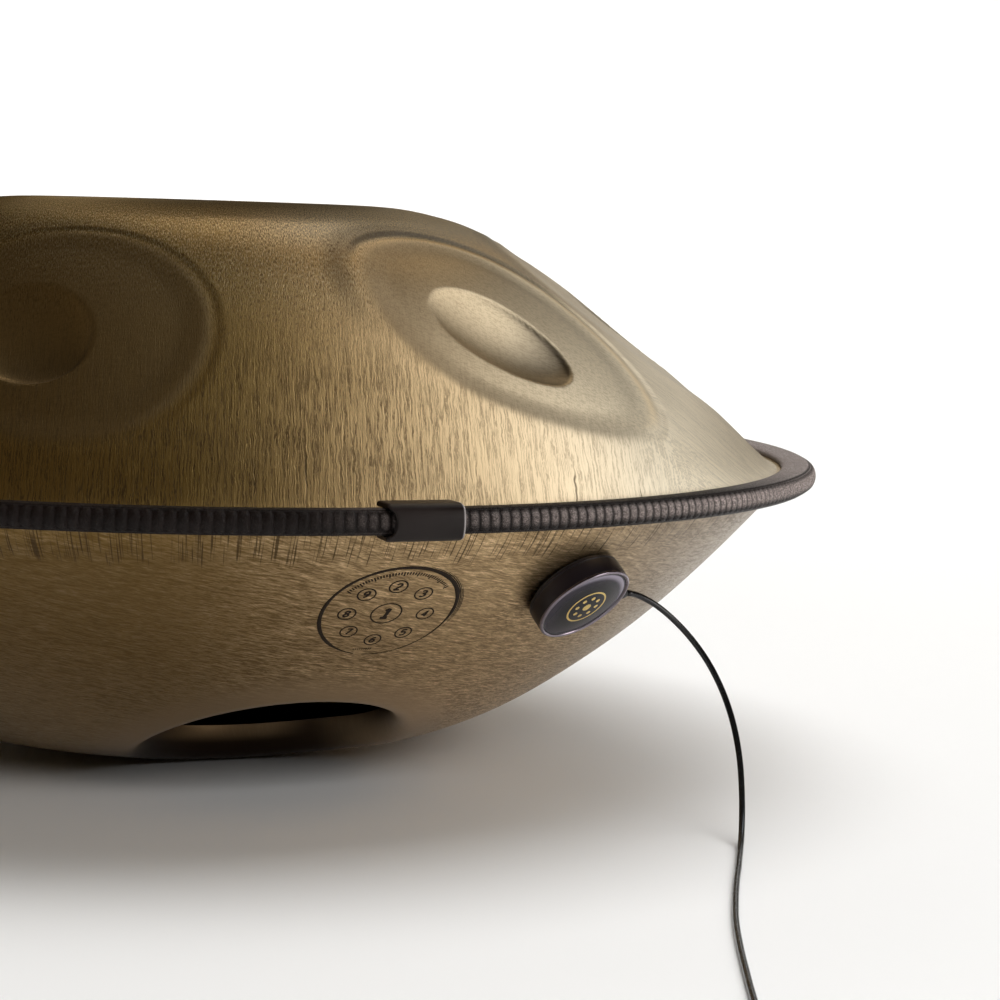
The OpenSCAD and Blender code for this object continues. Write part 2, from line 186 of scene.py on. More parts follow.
def steel_top():
    """Brushed towards the rim: the front and back along Y, the two sides along X."""
    t = Tree("steel_top")
    x, y, z = t.xyz()
    r = t.radius(x, y)
    field, shade = t.attr("field"), t.attr("shade")
    side = t.ramp(t.sub(t.math("ABSOLUTE", x), t.math("ABSOLUTE", y)), -0.01, 0.10)
    wave = t.mul(t.noise(t.place(), 170, 2), 0.0014)

    def brushed(across, along, seed):
        across = t.add(across, wave)
        return [t.noise(t.vec(t.mul(across, a), t.mul(along, b), seed), 1, n, 0.65) for a, b, n in BRUSH]

    ways = zip(brushed(x, y, 0.0), brushed(y, x, 1.0))
    long, short, line, course = (t.lerp(side, a, b) for a, b in ways)
    near = t.ramp(r, 0.15, 0.235)
    grain = t.lerp(t.madd(near, 0.45, 0.25), short, long)
    # Thin lines run where the slow noise crosses its middle, broken up by the quick one
    thread = t.ramp(t.math("ABSOLUTE", t.sub(course, 0.5)), 0.06, 0.012)
    thread = t.mul(t.mul(thread, near), t.ramp(short, 0.36, 0.50))
    dark = t.mul(t.ramp(grain, 0.50, 0.39), t.madd(near, -0.62, 1.0))
    dark = t.math("MAXIMUM", dark, thread)
    calm = t.madd(field, -0.62, 1.0)
    right = t.ramp(x, 0.03, 0.15, 1.0, 0.34)
    area = t.noise(t.place(), 16, 3, 0.6)
    depth = t.mul(t.mul(dark, calm), t.mul(right, t.ramp(area, 0.3, 0.7, 0.75, 1.0)))
    # Painted shade and light: browner to the left, paler to the right; a painted grey reflection on the
    # crown, whose grain glitters with painted glints
    plain = t.over(t.mix(t.ramp(area, 0.3, 0.7), TOP_GOLD, TOP_GOLD_DEEP),
                   (t.ramp(x, 0.03, 0.21), TOP_RIGHT_PAINTED_LIGHT), (t.ramp(x, 0.16, 0.215), TOP_FAR_RIGHT_PAINTED_LIGHT),
                   (t.ramp(x, 0.08, -0.01, 0.0, 0.7), TOP_LEFT_PAINTED_SHADE),
                   (t.mul(t.ramp(z, 0.222, 0.236), t.ramp(x, 0.0, 0.06, 0.0, 0.9)), CROWN_PAINTED_REFLECTION),
                   (t.mul(t.ramp(short, 0.52, 0.60), t.ramp(r, 0.19, 0.13)), GLITTER))
    # The tone fields are rubbed along X, their colour is painted darker to the left and lighter to the right
    # as painted shade and light, and dark scratches run down to the rim
    rub = t.noise(t.vec(t.mul(x, 260), t.mul(y, 1300), t.mul(z, 900)), 1, 3, 0.65)
    wear_and_sheen = t.over(t.mix(t.ramp(x, 0.05, 0.20), WORN_LEFT_PAINTED_SHADE, WORN_RIGHT_PAINTED_LIGHT),
                  (t.ramp(rub, 0.54, 0.40, 0.0, 0.42), WORN_LINE))
    scratch = t.mul(t.ramp(line, 0.70, 0.76), t.ramp(r, 0.236, 0.246))
    colour = t.over(plain, (t.mul(field, 0.85), wear_and_sheen), (t.mul(shade, 0.85, clamp=True), SHADE_DARK),
                    (t.mul(shade, -0.9, clamp=True), SHADE_LIGHT), (t.mul(depth, 0.95), TOP_LINE),
                    (t.mul(scratch, 0.75), TOP_SCRATCH))
    height = t.sub(t.mul(grain, t.mul(calm, right)), t.mul(scratch, 0.3))
    return t.shade(Base_Color=colour, Metallic=1.0, Anisotropic=0.7, Tangent=t.round_axis(),
                   Roughness=t.add(t.madd(depth, 0.16, 0.34), t.mul(field, 0.02)),
                   Normal=t.bump(height, 0.6, 0.0004))


def steel_bottom():
    """Brushed round the axis in short, slightly crossing strokes."""
    t = Tree("steel_bottom")
    x, y, _ = t.xyz()
    r = t.radius(x, y)
    safe = t.math("MAXIMUM", r, 0.0005)
    c, s = t.math("DIVIDE", x, safe), t.math("DIVIDE", y, safe)
    lip = t.attr("lip")

    def stroke(round_scale, out, out_scale, rough):
        place = t.vec(t.mul(c, round_scale), t.mul(s, round_scale), t.mul(out, out_scale))
        return t.noise(place, 1, 3, rough)

    wave = t.mul(t.noise(t.place(), 70, 1), 0.0035)
    slant = t.madd(c, 0.045, r)
    strokes = stroke(26, t.add(slant, wave), 1500, 0.7)
    fine = stroke(80, t.sub(slant, t.mul(wave, 1.3)), 2300, 0.65)
    grain = t.lerp(0.4, strokes, fine)
    area = t.noise(t.place(), 12, 3, 0.6)
    calm = t.sub(1.0, t.mul(lip, 0.85))
    dark = t.mul(t.mul(t.ramp(grain, 0.53, 0.42), calm), t.ramp(area, 0.3, 0.7, 0.6, 1.0))
    # Slanted scratches in a band under the rim
    lean = t.mul(r, 14.0)
    lines = t.noise(t.vec(t.madd(c, 430, lean), t.madd(s, 430, lean), t.mul(r, 40)), 1, 2, 0.55)
    edge = t.madd(t.noise(t.vec(t.mul(c, 60), t.mul(s, 60), 0.0), 1, 1), 0.014, 0.244)
    scratch = t.mul(t.ramp(lines, 0.55, 0.62), t.ramp(t.sub(r, edge), 0.0, 0.003))
    # Painted shade: browner to the left, duller to the right and darker at the lip; the last layer is
    # painted shade on the far side of the port's roll
    colour = t.over(t.mix(t.ramp(area, 0.3, 0.7), LOW_TAN, LOW_TAN_DEEP),
                    (t.mul(t.ramp(grain, 0.54, 0.62), calm), LOW_GLINT), (t.mul(dark, 0.85), LOW_LINE),
                    (t.ramp(x, 0.075, -0.02, 0.0, 0.72), LOW_LEFT_PAINTED_SHADE),
                    (t.ramp(x, 0.125, 0.20, 0.0, 0.72), LOW_RIGHT_PAINTED_SHADE),
                    (t.mul(scratch, 0.85), LOW_SCRATCH), (t.mul(lip, 0.35), LIP_PAINTED_SHADE),
                    (t.mul(t.attr("port_shade"), 0.93), PORT_SHADE_COLOUR))
    height = t.sub(t.mul(grain, calm), t.mul(scratch, 0.4))
    return t.shade(Base_Color=colour, Metallic=1.0, Roughness=t.madd(dark, 0.12, 0.36), Anisotropic=0.45,
                   Anisotropic_Rotation=0.25, Tangent=t.round_axis(), Normal=t.bump(height, 0.5, 0.0003))


def steel_inside():
    t = Tree("steel_inside")
    stain = t.noise(t.place(), 30, 4, 0.6)
    colour = t.mix(t.ramp(stain, 0.3, 0.7), (0.10, 0.08, 0.055), (0.15, 0.12, 0.085))
    return t.shade(Base_Color=colour, Metallic=0.9, Roughness=t.ramp(stain, 0.3, 0.7, 0.5, 0.65),
                   Normal=t.bump(stain, 0.2, 0.0006))


def leatherette():
    """Pebbles between creases, with a painted highlight on the crests of the ribs that grows towards the
    right.
    """
    t = Tree("leatherette")
    p = t.place()
    warp = 0.0005
    shift = t.fed("ShaderNodeTexNoise", {"Vector": p, "Scale": 900}).outputs["Color"]
    warped = t.fed("ShaderNodeVectorMath", (shift, (warp, warp, warp), p), operation="MULTIPLY_ADD")
    pebble = t.ramp(t.cells(warped.outputs[0], 1700, "DISTANCE_TO_EDGE"), 0.0, 0.28)
    height = t.madd(t.noise(p, 5200, 2), 0.25, pebble)
    area = t.noise(p, 90, 3)
    colour = t.mix(pebble, (0.003, 0.0015, 0.001), (0.009, 0.005, 0.004))
    colour = t.mix(t.ramp(area, 0.35, 0.7, 0, 0.5), colour, (0.013, 0.008, 0.007))
    # Painted highlight on the rib crests, stronger towards the right
    rib_highlight = t.mul(t.attr("rib"), t.ramp(t.xyz()[0], 0.04, 0.22, kind="LINEAR"))
    patchy = t.ramp(t.noise(p, 1300, 2), 0.3, 0.65, 0.45, 1.0)
    rib_highlight = t.mul(rib_highlight, t.mul(t.madd(pebble, 0.6, 0.4), patchy))
    colour = t.mix(rib_highlight, colour, (0.66, 0.55, 0.51))
    rough = t.lerp(pebble, 0.55, t.ramp(area, 0.3, 0.7, 0.28, 0.36))
    return t.shade(Base_Color=colour, Roughness=rough, Specular_IOR_Level=0.22,
                   Normal=t.bump(height, 0.8, 0.00025))


def plain_skin(name, colour, rough, metal=0.0, scale=300.0, bump=0.08, coat=0.0, spread=0.12,
               spec=0.5, size=0.0002, edge=None):
    """A near-uniform surface that still has mottling, uneven gloss and a fine texture."""
    t = Tree(name)
    p = t.place()
    broad, fine = t.noise(p, scale * 0.15, 3), t.noise(p, scale * 8, 3, 0.6)
    light = tuple(min(1.0, x * (1 + spread) + 0.003) for x in colour)
    deep = tuple(x * (1 - spread) for x in colour)
    base = t.mix(t.ramp(broad, 0.3, 0.7), deep, light)
    # The edge colour is a painted highlight, laid where the mesh's attribute marks it
    if edge:
        base = t.mix(t.mul(t.attr("wear_and_sheen"), t.ramp(fine, 0.25, 0.6, 0.6, 1.0)), base, edge)
    return t.shade(Base_Color=base, Metallic=metal, Specular_IOR_Level=spec,
                   Roughness=t.ramp(t.add(broad, fine), 0.6, 1.4, rough * 0.88, min(1, rough * 1.15)),
                   Coat_Weight=coat, Coat_Roughness=0.06, Normal=t.bump(fine, bump, size))


def turned_metal(name, colour, rough, metal=1.0):
    """Fine lathe rings about the piece's own axis, spaced by its attribute "along"."""
    t = Tree(name)
    rings = t.noise(t.vec(0.0, 0.0, t.mul(t.attr("along"), 6000)), 1, 3, 0.6)
    broad = t.noise(t.place(), 60, 2)
    dark = tuple(x * 0.8 for x in colour)
    return t.shade(Base_Color=t.mix(t.ramp(rings, 0.3, 0.7), dark, colour), Metallic=metal,
                   Roughness=t.ramp(t.add(rings, broad), 0.7, 1.3, rough * 0.8, rough * 1.25),
                   Normal=t.bump(rings, 0.12, 0.0001))


def badge_resin():
    """Nearly black in the middle, a little lighter at the edge, with a pale crescent of painted reflection.
    """
    t = Tree("badge_resin")
    p = t.place()
    cloud, dust = t.noise(p, 120, 3), t.noise(p, 2600, 2)
    colour = t.mix(t.ramp(t.attr("along"), 0.55, 1.0), (0.003, 0.003, 0.004), (0.030, 0.025, 0.037))
    colour = t.mix(t.ramp(cloud, 0.3, 0.7, 0, 0.2), colour, (0.012, 0.010, 0.015))
    colour = t.mix(t.attr("reflection_crescent"), colour, (0.30, 0.27, 0.33))
    return t.shade(Base_Color=colour, Roughness=t.ramp(dust, 0.3, 0.7, 0.16, 0.24),
                   Specular_IOR_Level=0.12, Coat_Weight=0.14, Coat_Roughness=0.035)


def strap_weave():
    t = Tree("strap_weave")
    p = t.place()
    loops, fibre = t.cells(p, 1500), t.noise(p, 4200, 3, 0.7)
    colour = t.mix(t.ramp(loops, 0.1, 0.7), (0.045, 0.045, 0.05), (0.012, 0.012, 0.014))
    return t.shade(Base_Color=colour, Roughness=0.88, Sheen_Weight=0.4,
                   Normal=t.bump(t.add(loops, fibre), 0.8, 0.0003))


def marking_ink():
    t = Tree("marking_ink")
    burn = t.noise(t.place(), 1400, 3, 0.7)
    colour = t.mix(t.ramp(burn, 0.35, 0.65), (0.010, 0.006, 0.004), (0.03, 0.02, 0.012))
    return t.shade(Base_Color=colour, Roughness=t.ramp(burn, 0.3, 0.7, 0.7, 0.9), Specular_IOR_Level=0.15,
                   Normal=t.bump(burn, 0.3, 0.0001))


def studio_floor():
    t = Tree("studio_floor")
    colour = t.mix(t.noise(t.place(), 3, 2), (0.86, 0.86, 0.855), (0.88, 0.88, 0.875))
    return t.shade(Base_Color=colour, Roughness=0.75)


MATS = {
    "top": steel_top(), "bottom": steel_bottom(), "inside": steel_inside(),
    "leather": leatherette(),
    # The sleeve's edge colour is a painted highlight on the right end's outer edge
    "sleeve": plain_skin("sleeve_rubber", (0.008, 0.0045, 0.0035), 0.38, scale=260, bump=0.12, spec=0.2,
                         edge=(0.34, 0.31, 0.30)),
    "house": plain_skin("housing_black", (0.005, 0.003, 0.005), 0.36, scale=420, bump=0.10, coat=0.1,
                        spec=0.35),
    "rubber": plain_skin("soft_rubber", (0.022, 0.021, 0.022), 0.55, scale=500, bump=0.25),
    "cable": plain_skin("cable_jacket", (0.004, 0.004, 0.0045), 0.26, scale=500, bump=0.10, coat=0.15,
                        spec=0.35),
    "plastic": plain_skin("dark_plastic", (0.030, 0.030, 0.033), 0.5, scale=400, bump=0.2),
    "bezel": turned_metal("bezel_metal", (0.27, 0.235, 0.27), 0.26),
    "nickel": turned_metal("nickel_plate", (0.74, 0.74, 0.75), 0.2),
    "barrel": turned_metal("barrel_black", (0.035, 0.035, 0.038), 0.36, 0.6),
    "resin": badge_resin(), "strap": strap_weave(), "ink": marking_ink(),
    "gold": plain_skin("gold_print", (0.83, 0.62, 0.22), 0.28, metal=1.0, scale=600, bump=0.1),
    "brass": plain_skin("brass_sheet", (0.76, 0.58, 0.24), 0.3, metal=1.0, bump=0.1),
    "spring": plain_skin("spring_steel", (0.56, 0.56, 0.58), 0.32, metal=1.0, bump=0.1),
    "ceramic": plain_skin("fired_ceramic", (0.80, 0.78, 0.70), 0.5, bump=0.15, spread=0.05),
    "foam": plain_skin("foam_cells", (0.05, 0.05, 0.055), 0.9, scale=300, bump=0.9, size=0.0008),
    "glue": plain_skin("cured_epoxy", (0.62, 0.56, 0.40), 0.4, bump=0.2),
    "lead": plain_skin("lead_jacket", (0.55, 0.05, 0.04), 0.4, bump=0.1),
    "floor": studio_floor(),
}


# ---- meshes
def add_attr(ob, key, values):
    """Adds a number for each vertex, which a material reads by name."""
    ob.data.attributes.new(key, "FLOAT", "POINT").data.foreach_set("value", np.asarray(values, np.float32))


def mesh_from(name, verts, faces, mats, attrs=None, smooth=True):
    """A new object in the scene, with the materials that the keys of MATS name."""
    me = bpy.data.meshes.new(name)
    me.from_pydata(np.asarray(verts, float).tolist(), [], faces)
    me.update()
    ob = bpy.data.objects.new(name, me)
    scene.collection.objects.link(ob)
    for key, values in (attrs or {}).items():
        add_attr(ob, key, values)
    for m in mats:
        me.materials.append(MATS[m])
    if smooth:
        me.polygons.foreach_set("use_smooth", [True] * len(me.polygons))
    return ob


def grid_faces(rows, cols, base=0, flip=False):
    """Quads between rows of vertices, each row closed into a ring."""
    out = []
    for j in range(rows - 1):
        for i in range(cols):
            a, b = base + j * cols + i, base + j * cols + (i + 1) % cols
            q = (a, b, b + cols, a + cols)
            out.append(q[::-1] if flip else q)
    return out


def capped(rows, cols):
    """The faces of a swept tube with both ends closed."""
    last = (rows - 1) * cols
    return grid_faces(rows, cols) + [tuple(range(cols))[::-1], tuple(last + q for q in range(cols))]


def pairs(n):
    """Each index of a ring with the next one."""
    return [(i, (i + 1) % n) for i in range(n)]


def two_skins(rows, cols):
    """The faces of an outer and an inner grid that are joined along their first and last rows."""
    n = rows * cols
    a, b = n - cols, 2 * n - cols
    faces = grid_faces(rows, cols, 0, False) + grid_faces(rows, cols, n, True)
    for i, j in pairs(cols):
        faces += [(b + i, a + i, a + j, b + j), (i, n + i, n + j, j)]
    return faces


def sharp_by_angle(ob, degrees):
    bm = bmesh.new()
    bm.from_mesh(ob.data)
    for e in bm.edges:
        if len(e.link_faces) == 2 and e.calc_face_angle(0) > math.radians(degrees):
            e.smooth = False
    bm.to_mesh(ob.data)
    bm.free()


def rework(ob, *steps):
    """Runs the steps on an object's mesh, then turns its faces outwards."""
    bm = bmesh.new()
    bm.from_mesh(ob.data)
    for step in steps:
        step(bm)
    bmesh.ops.recalc_face_normals(bm, faces=bm.faces)
    bm.to_mesh(ob.data)
    bm.free()


def join_doubles(bm):
    bmesh.ops.remove_doubles(bm, verts=bm.verts, dist=1e-7)


def drop_slivers(bm):
    bmesh.ops.dissolve_degenerate(bm, edges=bm.edges, dist=1e-8)


def drop_facing_pairs(bm):
    """Deletes both faces where two lie on the same vertices."""
    pairs = {}
    for f in bm.faces:
        pairs.setdefault(tuple(sorted(v.index for v in f.verts)), []).append(f)
    doubled = [f for group in pairs.values() if len(group) > 1 for f in group]
    bmesh.ops.delete(bm, geom=doubled, context="FACES_ONLY")


def hermite(table, r):
    """The smooth curve through a table of (radius, height, slope), in mm."""
    r = np.asarray(r, float)
    t = np.array(table, float)
    i = np.clip(np.searchsorted(t[:, 0], r, side="right") - 1, 0, len(t) - 2)
    h = t[i + 1, 0] - t[i, 0]
    u = (r - t[i, 0]) / h
    v = 1 - u
    return ((1 + 2 * u) * v * v * t[i, 1] + u * v * v * h * t[i, 2]
            + u * u * (3 - 2 * u) * t[i + 1, 1] - u * u * v * h * t[i + 1, 2])


def slope(table, r):
    return (hermite(table, r + 0.05) - hermite(table, np.maximum(r - 0.05, 0))) / 0.1


# The shells' outer profiles, as heights over and under the rim's plane
RIM_H, WALL, FLANGE_R = 132.0, 1.2, 272.8
TOP_T = [[0, 112.5, 0], [70, 112.3, -0.01], [88, 111.5, -0.09], [102, 109.3, -0.22],
         [120, 104.4, -0.38], [150, 89.6, -0.61], [180, 69, -0.73], [210, 46, -0.8],
         [240, 20.8, -0.9], [255, 7, -0.88], [260.5, 2.6, -0.6], [263, 1.6, 0], [280, 1.6, 0]]
LOW_T = [[0, 132, 0], [28, 132, 0], [60, 130, -0.14], [90, 124.4, -0.21], [120, 117.2, -0.32],
         [150, 104.3, -0.55], [180, 84.8, -0.73], [210, 60.8, -0.9], [240, 31.2, -1.06],
         [256, 13.6, -1.12], [262.5, 5, -1.3], [265.5, 1.6, 0], [280, 1.6, 0]]
TOP_FLAT_R, LOW_FLAT_R = 262.9, 265.4
# The tone fields: azimuth in degrees, radius of the middle in mm, size against the first one
FIELDS = [[41.3, 186, 1], [84, 188, 0.97], [127, 190, 0.93], [169.5, 191, 0.9], [212, 192, 0.87],
          [254.5, 191, 0.9], [297.5, 190, 0.94], [340, 188, 0.98]]
FIELD_TURN, FIELD_STRETCH = math.radians(33), 1.27
FIELD_HALF, FIELD_MID, FIELD_POWER = (75.9, 65.7), (0.8, 10.9), 1.8
PIT_HALF, PIT_DEEP = (33.6, 24.7), 5.4
CROWN_PIT_R, CROWN_PIT_DEEP = 37, 6


def smoothstep(x):
    x = np.clip(x, 0, 1)
    return x * x * (3 - 2 * x)


def band(x, at, width):
    """A bell-shaped bump of height 1."""
    return np.exp(-((x - at) / width) ** 2)


def upright_wall(table, r, flat_r):
    """The wall's thickness measured straight up, in mm."""
    return WALL * np.sqrt(1 + np.where(r > flat_r, 0, slope(table, r)) ** 2)


def field_frame(x, y, f):
    """A point's place in a tone field, along the field's two half sizes."""
    a = math.radians(f[0])
    dx, dy = math.sin(a), -math.cos(a)
    s, t = (x * dx + y * dy - f[1]) * FIELD_STRETCH, -x * dy + y * dx
    cu, su = math.cos(FIELD_TURN), math.sin(FIELD_TURN)
    return (s * cu + t * su) / f[2], (t * cu - s * su) / f[2]


def top_shape(x, y):
    """Height over the rim plane, in mm, how far inside a tone field each point is, and its shade."""
    r = np.hypot(x, y)
    z = hermite(TOP_T, r) - CROWN_PIT_DEEP * np.clip(1 - (r / CROWN_PIT_R) ** 2, 0, 1) ** 0.9
    mask = smoothstep((40 - r) / 6) * 0.5
    shade = np.zeros(z.shape)
    for f in FIELDS:
        seen = f is FIELDS[0]
        u, v = field_frame(x, y, f)
        w = v - FIELD_MID[1]
        # e is 1 on the field's edge, and g on the pit's
        e = (np.abs((u - FIELD_MID[0]) / FIELD_HALF[0]) ** FIELD_POWER
             + np.abs(w / FIELD_HALF[1]) ** FIELD_POWER) ** (1 / FIELD_POWER)
        g = np.hypot(u / PIT_HALF[0], v / PIT_HALF[1])
        pit = np.clip(1 - g * g, 0, 1)
        far = smoothstep(w / FIELD_HALF[1] / np.maximum(e, 0.3) * 1.2 + 0.45)
        left = smoothstep(-u / FIELD_HALF[0] / np.maximum(e, 0.3) * 2 - 0.9)
        crisp = far * (1 if seen else 0.5)
        z = z - PIT_DEEP * pit ** 0.75 * (1 + 0.3 * u / PIT_HALF[0])
        # The near edge is a soft step, the far one a crisp groove and ridge
        z = z - (1 - crisp) * 1.7 * smoothstep((1.02 - e) / 0.3)
        z = z - crisp * (1.0 * smoothstep((1.03 - e) / 0.055) + 0.7 * smoothstep((0.88 - e) / 0.14))
        z = z + crisp * 0.55 * band(e, 0.915, 0.04)
        mask = np.maximum(mask, smoothstep((1.0 - e) / 0.14) * (0.9 if seen else 0.6))
        tone = 0.28 * band(e, 0.93, 0.05) * (1 - far) * (1 - left)
        tone += 0.6 * band(e, 1.08, 0.09) * left
        tone += 1.6 * band(e, 1.0, 0.027) * crisp * smoothstep((20 - u) / 60 + 0.25)
        tone -= 0.9 * band(e, 0.915, 0.035) * crisp
        tone += 0.22 * band(e, 0.77, 0.08) * far
        tone += 0.8 * band(g, 0.965, 0.035) * smoothstep(v / 12) * smoothstep(u / 30 + 0.6)
        tone += 0.7 * smoothstep(u / 32 + 0.27) * smoothstep(pit / 0.1)
        tone *= 1 if seen else 0.5
        shade = np.where(np.abs(tone) > np.abs(shade), np.clip(tone, -1, 1), shade)
    return z, mask, shade


def line_inside(ob, first, last):
    """Gives the faces from first to last the object's second material."""
    index = np.zeros(len(ob.data.polygons), int)
    index[first:last] = 1
    ob.data.polygons.foreach_set("material_index", index)
    sharp_by_angle(ob, 50)
    return ob


def top_shell():
    seg = 840
    rows = np.concatenate([np.arange(1.5, 76, 3.0), np.arange(76, 262, 1.1),
                           [262.2, 262.7, 263.2, 266, 270, FLANGE_R]])
    back = np.concatenate([np.linspace(4, 255, 40), [259, 262, 263.2, FLANGE_R]])
    az = np.arange(seg) * TAU / seg

    def ring_points(radii):
        rr, aa = np.meshgrid(radii, az, indexing="ij")
        return (rr * np.sin(aa)).ravel(), (-rr * np.cos(aa)).ravel()

    x, y = ring_points(rows)
    z, mask, shade = top_shape(x, y)
    bx, by = ring_points(back)
    bz = top_shape(bx, by)[0] - upright_wall(TOP_T, np.hypot(bx, by), TOP_FLAT_R)
    verts = np.stack([np.concatenate([x, bx]), np.concatenate([y, by]), np.concatenate([z, bz])], 1)
    tip = top_shape(np.zeros(1), np.zeros(1))[0][0]
    verts = np.vstack([verts, [[0, 0, tip], [0, 0, tip - WALL]]])
    n, nb = len(rows) * seg, len(back) * seg
    faces = grid_faces(len(rows), seg, 0, True) + grid_faces(len(back), seg, n, False)
    lo, hi = n + nb - seg, n - seg
    for i, j in pairs(seg):
        faces += [(hi + i, lo + i, lo + j, hi + j), (n + nb, i, j), (n + nb + 1, n + j, n + i)]
    verts[:, 2] += RIM_H
    # The back and the two tips have no tone
    attrs = {"field": np.append(mask, np.zeros(nb + 2)), "shade": np.append(shade, np.zeros(nb + 2))}
    ob = mesh_from("top_shell_skin", verts * MM, faces, ["top", "inside"], attrs)
    return line_inside(ob, n - seg, n - seg + nb - seg)


PORT = np.array([33.0, -118.0])
THROAT, LIP_W, LIP_H = 50.0, 12.0, 15.0
SPREAD, SPREAD_W = 120, 188


def low_shell():
    """Rings about the port at its lip, whose middle moves to the pan's axis on the way to the rim."""
    seg = 640
    az = np.arange(seg) * TAU / seg
    w = np.stack([np.sin(az), -np.cos(az)], 1)
    steps = np.radians(np.linspace(90, 0, 19)[:-1])
    rings = [(THROAT + LIP_W + SPREAD_W * k / SPREAD, (1 - k / SPREAD) ** 1.15) for k in range(SPREAD + 1)]
    rings += [(r, 0) for r in (251.5, 253, 254.5, 256, 257.5, 259, 260.5, 261.5, 262.5, 263.3, 264,
                               264.7, 265.5, 268, FLANGE_R)]

    def low(p):
        return -hermite(LOW_T, np.hypot(p[:, 0], p[:, 1]))

    def up(p):
        return upright_wall(LOW_T, np.hypot(p[:, 0], p[:, 1]), LOW_FLAT_R)

    outer, inner, lip, port_shade = [], [], [], []
    # back weights the painted shade on the far side of the port's roll and the shell beyond it; it is
    # lighter along the throat on the left
    back = smoothstep(w[:, 1] * 1.1 + 0.5) * (1 - 0.55 * smoothstep((w[:, 0] - 0.35) / 0.5))
    for a in steps:
        r = THROAT + LIP_W * (1 - math.sin(a))
        p = PORT + r * w
        nr, nz = LIP_H * math.sin(a), LIP_W * math.cos(a)
        m = math.hypot(nr, nz)
        rise = LIP_H * (1 - math.cos(a))
        outer.append(np.column_stack([p, low(p) + rise]))
        q = PORT + (r + WALL * nr / m) * w
        inner.append(np.column_stack([q, low(p) + rise + up(p) * nz / m]))
        lip.append(np.full(seg, 1.0))
        port_shade.append(back * (1 - 0.55 * smoothstep((a - 1.0) / 0.3) * smoothstep(0.9 - 2.2 * w[:, 0])))
    for r, k in rings:
        p = k * PORT + r * w
        d = np.hypot(*(p - PORT).T)
        outer.append(np.column_stack([p, low(p)]))
        inner.append(np.column_stack([p, low(p) + up(p)]))
        lip.append(smoothstep((82 - d) / 20))
        port_shade.append(back * smoothstep((100 - d) / 34))
    rows = len(outer)
    verts = np.vstack(outer + inner)
    verts[:, 2] += RIM_H
    plain = [np.ones(rows * seg)]
    attrs = {"lip": np.concatenate(lip + plain), "port_shade": np.concatenate(port_shade + plain)}
    ob = mesh_from("bottom_shell_skin", verts * MM, two_skins(rows, seg), ["bottom", "inside"], attrs)
    # The inner wall has the outer steel for as far as it is seen down the throat
    start, seen_rows = (rows - 1) * seg, 14
    return line_inside(ob, start + seen_rows * seg, 2 * start)


def sweep_round(name, profile, az0, az1, count, mat, ripple, attrs=None):
    """A closed profile of (r, z) turned about the pan's axis from az0 to az1, in degrees."""
    verts = np.zeros((count, len(profile), 3))
    for i, a in enumerate(np.radians(np.linspace(az0, az1, count))):
        p = ripple(profile, i, a)
        verts[i] = np.column_stack([p[:, 0] * math.sin(a), -p[:, 0] * math.cos(a), p[:, 1] + RIM_H])
    ob = mesh_from(name, verts.reshape(-1, 3) * MM, capped(count, len(profile)), [mat], attrs)
    rework(ob)
    sharp_by_angle(ob, 48)
    return ob


def rounded(points, radius, steps=3):
    """Replaces each corner of a closed outline by a short arc, of its own third number or radius."""
    pts = [np.array(p[:2], float) for p in points]
    out = []
    for i, p in enumerate(pts):
        rad = points[i][2] if len(points[i]) > 2 else radius
        a, b = pts[i - 1] - p, pts[(i + 1) % len(pts)] - p
        la, lb = np.linalg.norm(a), np.linalg.norm(b)
        d = min(rad, 0.45 * la, 0.45 * lb)
        if d < 1e-3:
            out.append(p)
            continue
        s, e = p + a / la * d, p + b / lb * d
        for k in range(steps + 1):
            t = k / steps
            out.append((1 - t) ** 2 * s + 2 * t * (1 - t) * p + t * t * e)
    return np.array(out)


COVER = [(264.4, 2.4, 0.3), (264.6, 3.5, 0.6), (266, 4.2, 0.8), (270, 4.6, 2), (274.5, 4.85, 1.5),
         (276.5, 4.6, 0.6), (276.95, 3.95, 0.15), (277.5, 4.05, 0.3), (278.7, 3.3, 0.9),
         (279.6, 2.0, 1), (280, 0.2, 1.2), (279.7, -1.8, 1.2), (278.9, -3.3, 1),
         (277.6, -4.2, 0.6), (277.1, -4.25, 0.1), (276.6, -4.9, 0.5), (273.6, -5.3, 1.5),
         (269.6, -5.3, 1.2), (267.6, -4.7, 0.8), (267.05, -3.9, 0.6), (267.05, -1.65, 0.2),
         (267.6, -1.65, 0.1), (267.6, -2.2, 0.1), (273.8, -2.2, 0.1), (273.8, 2.2, 0.1),
         (267.6, 2.2, 0.1), (267.6, 1.65, 0.1), (264.5, 1.65, 0.3)]
COVER_MID = np.array([275.4, 0.0])
SLEEVE_AZ, SLEEVE_ARC = 17.5, 6.1
RIBS, PER_RIB = 404, 9
SEAM_GAP = 0.12


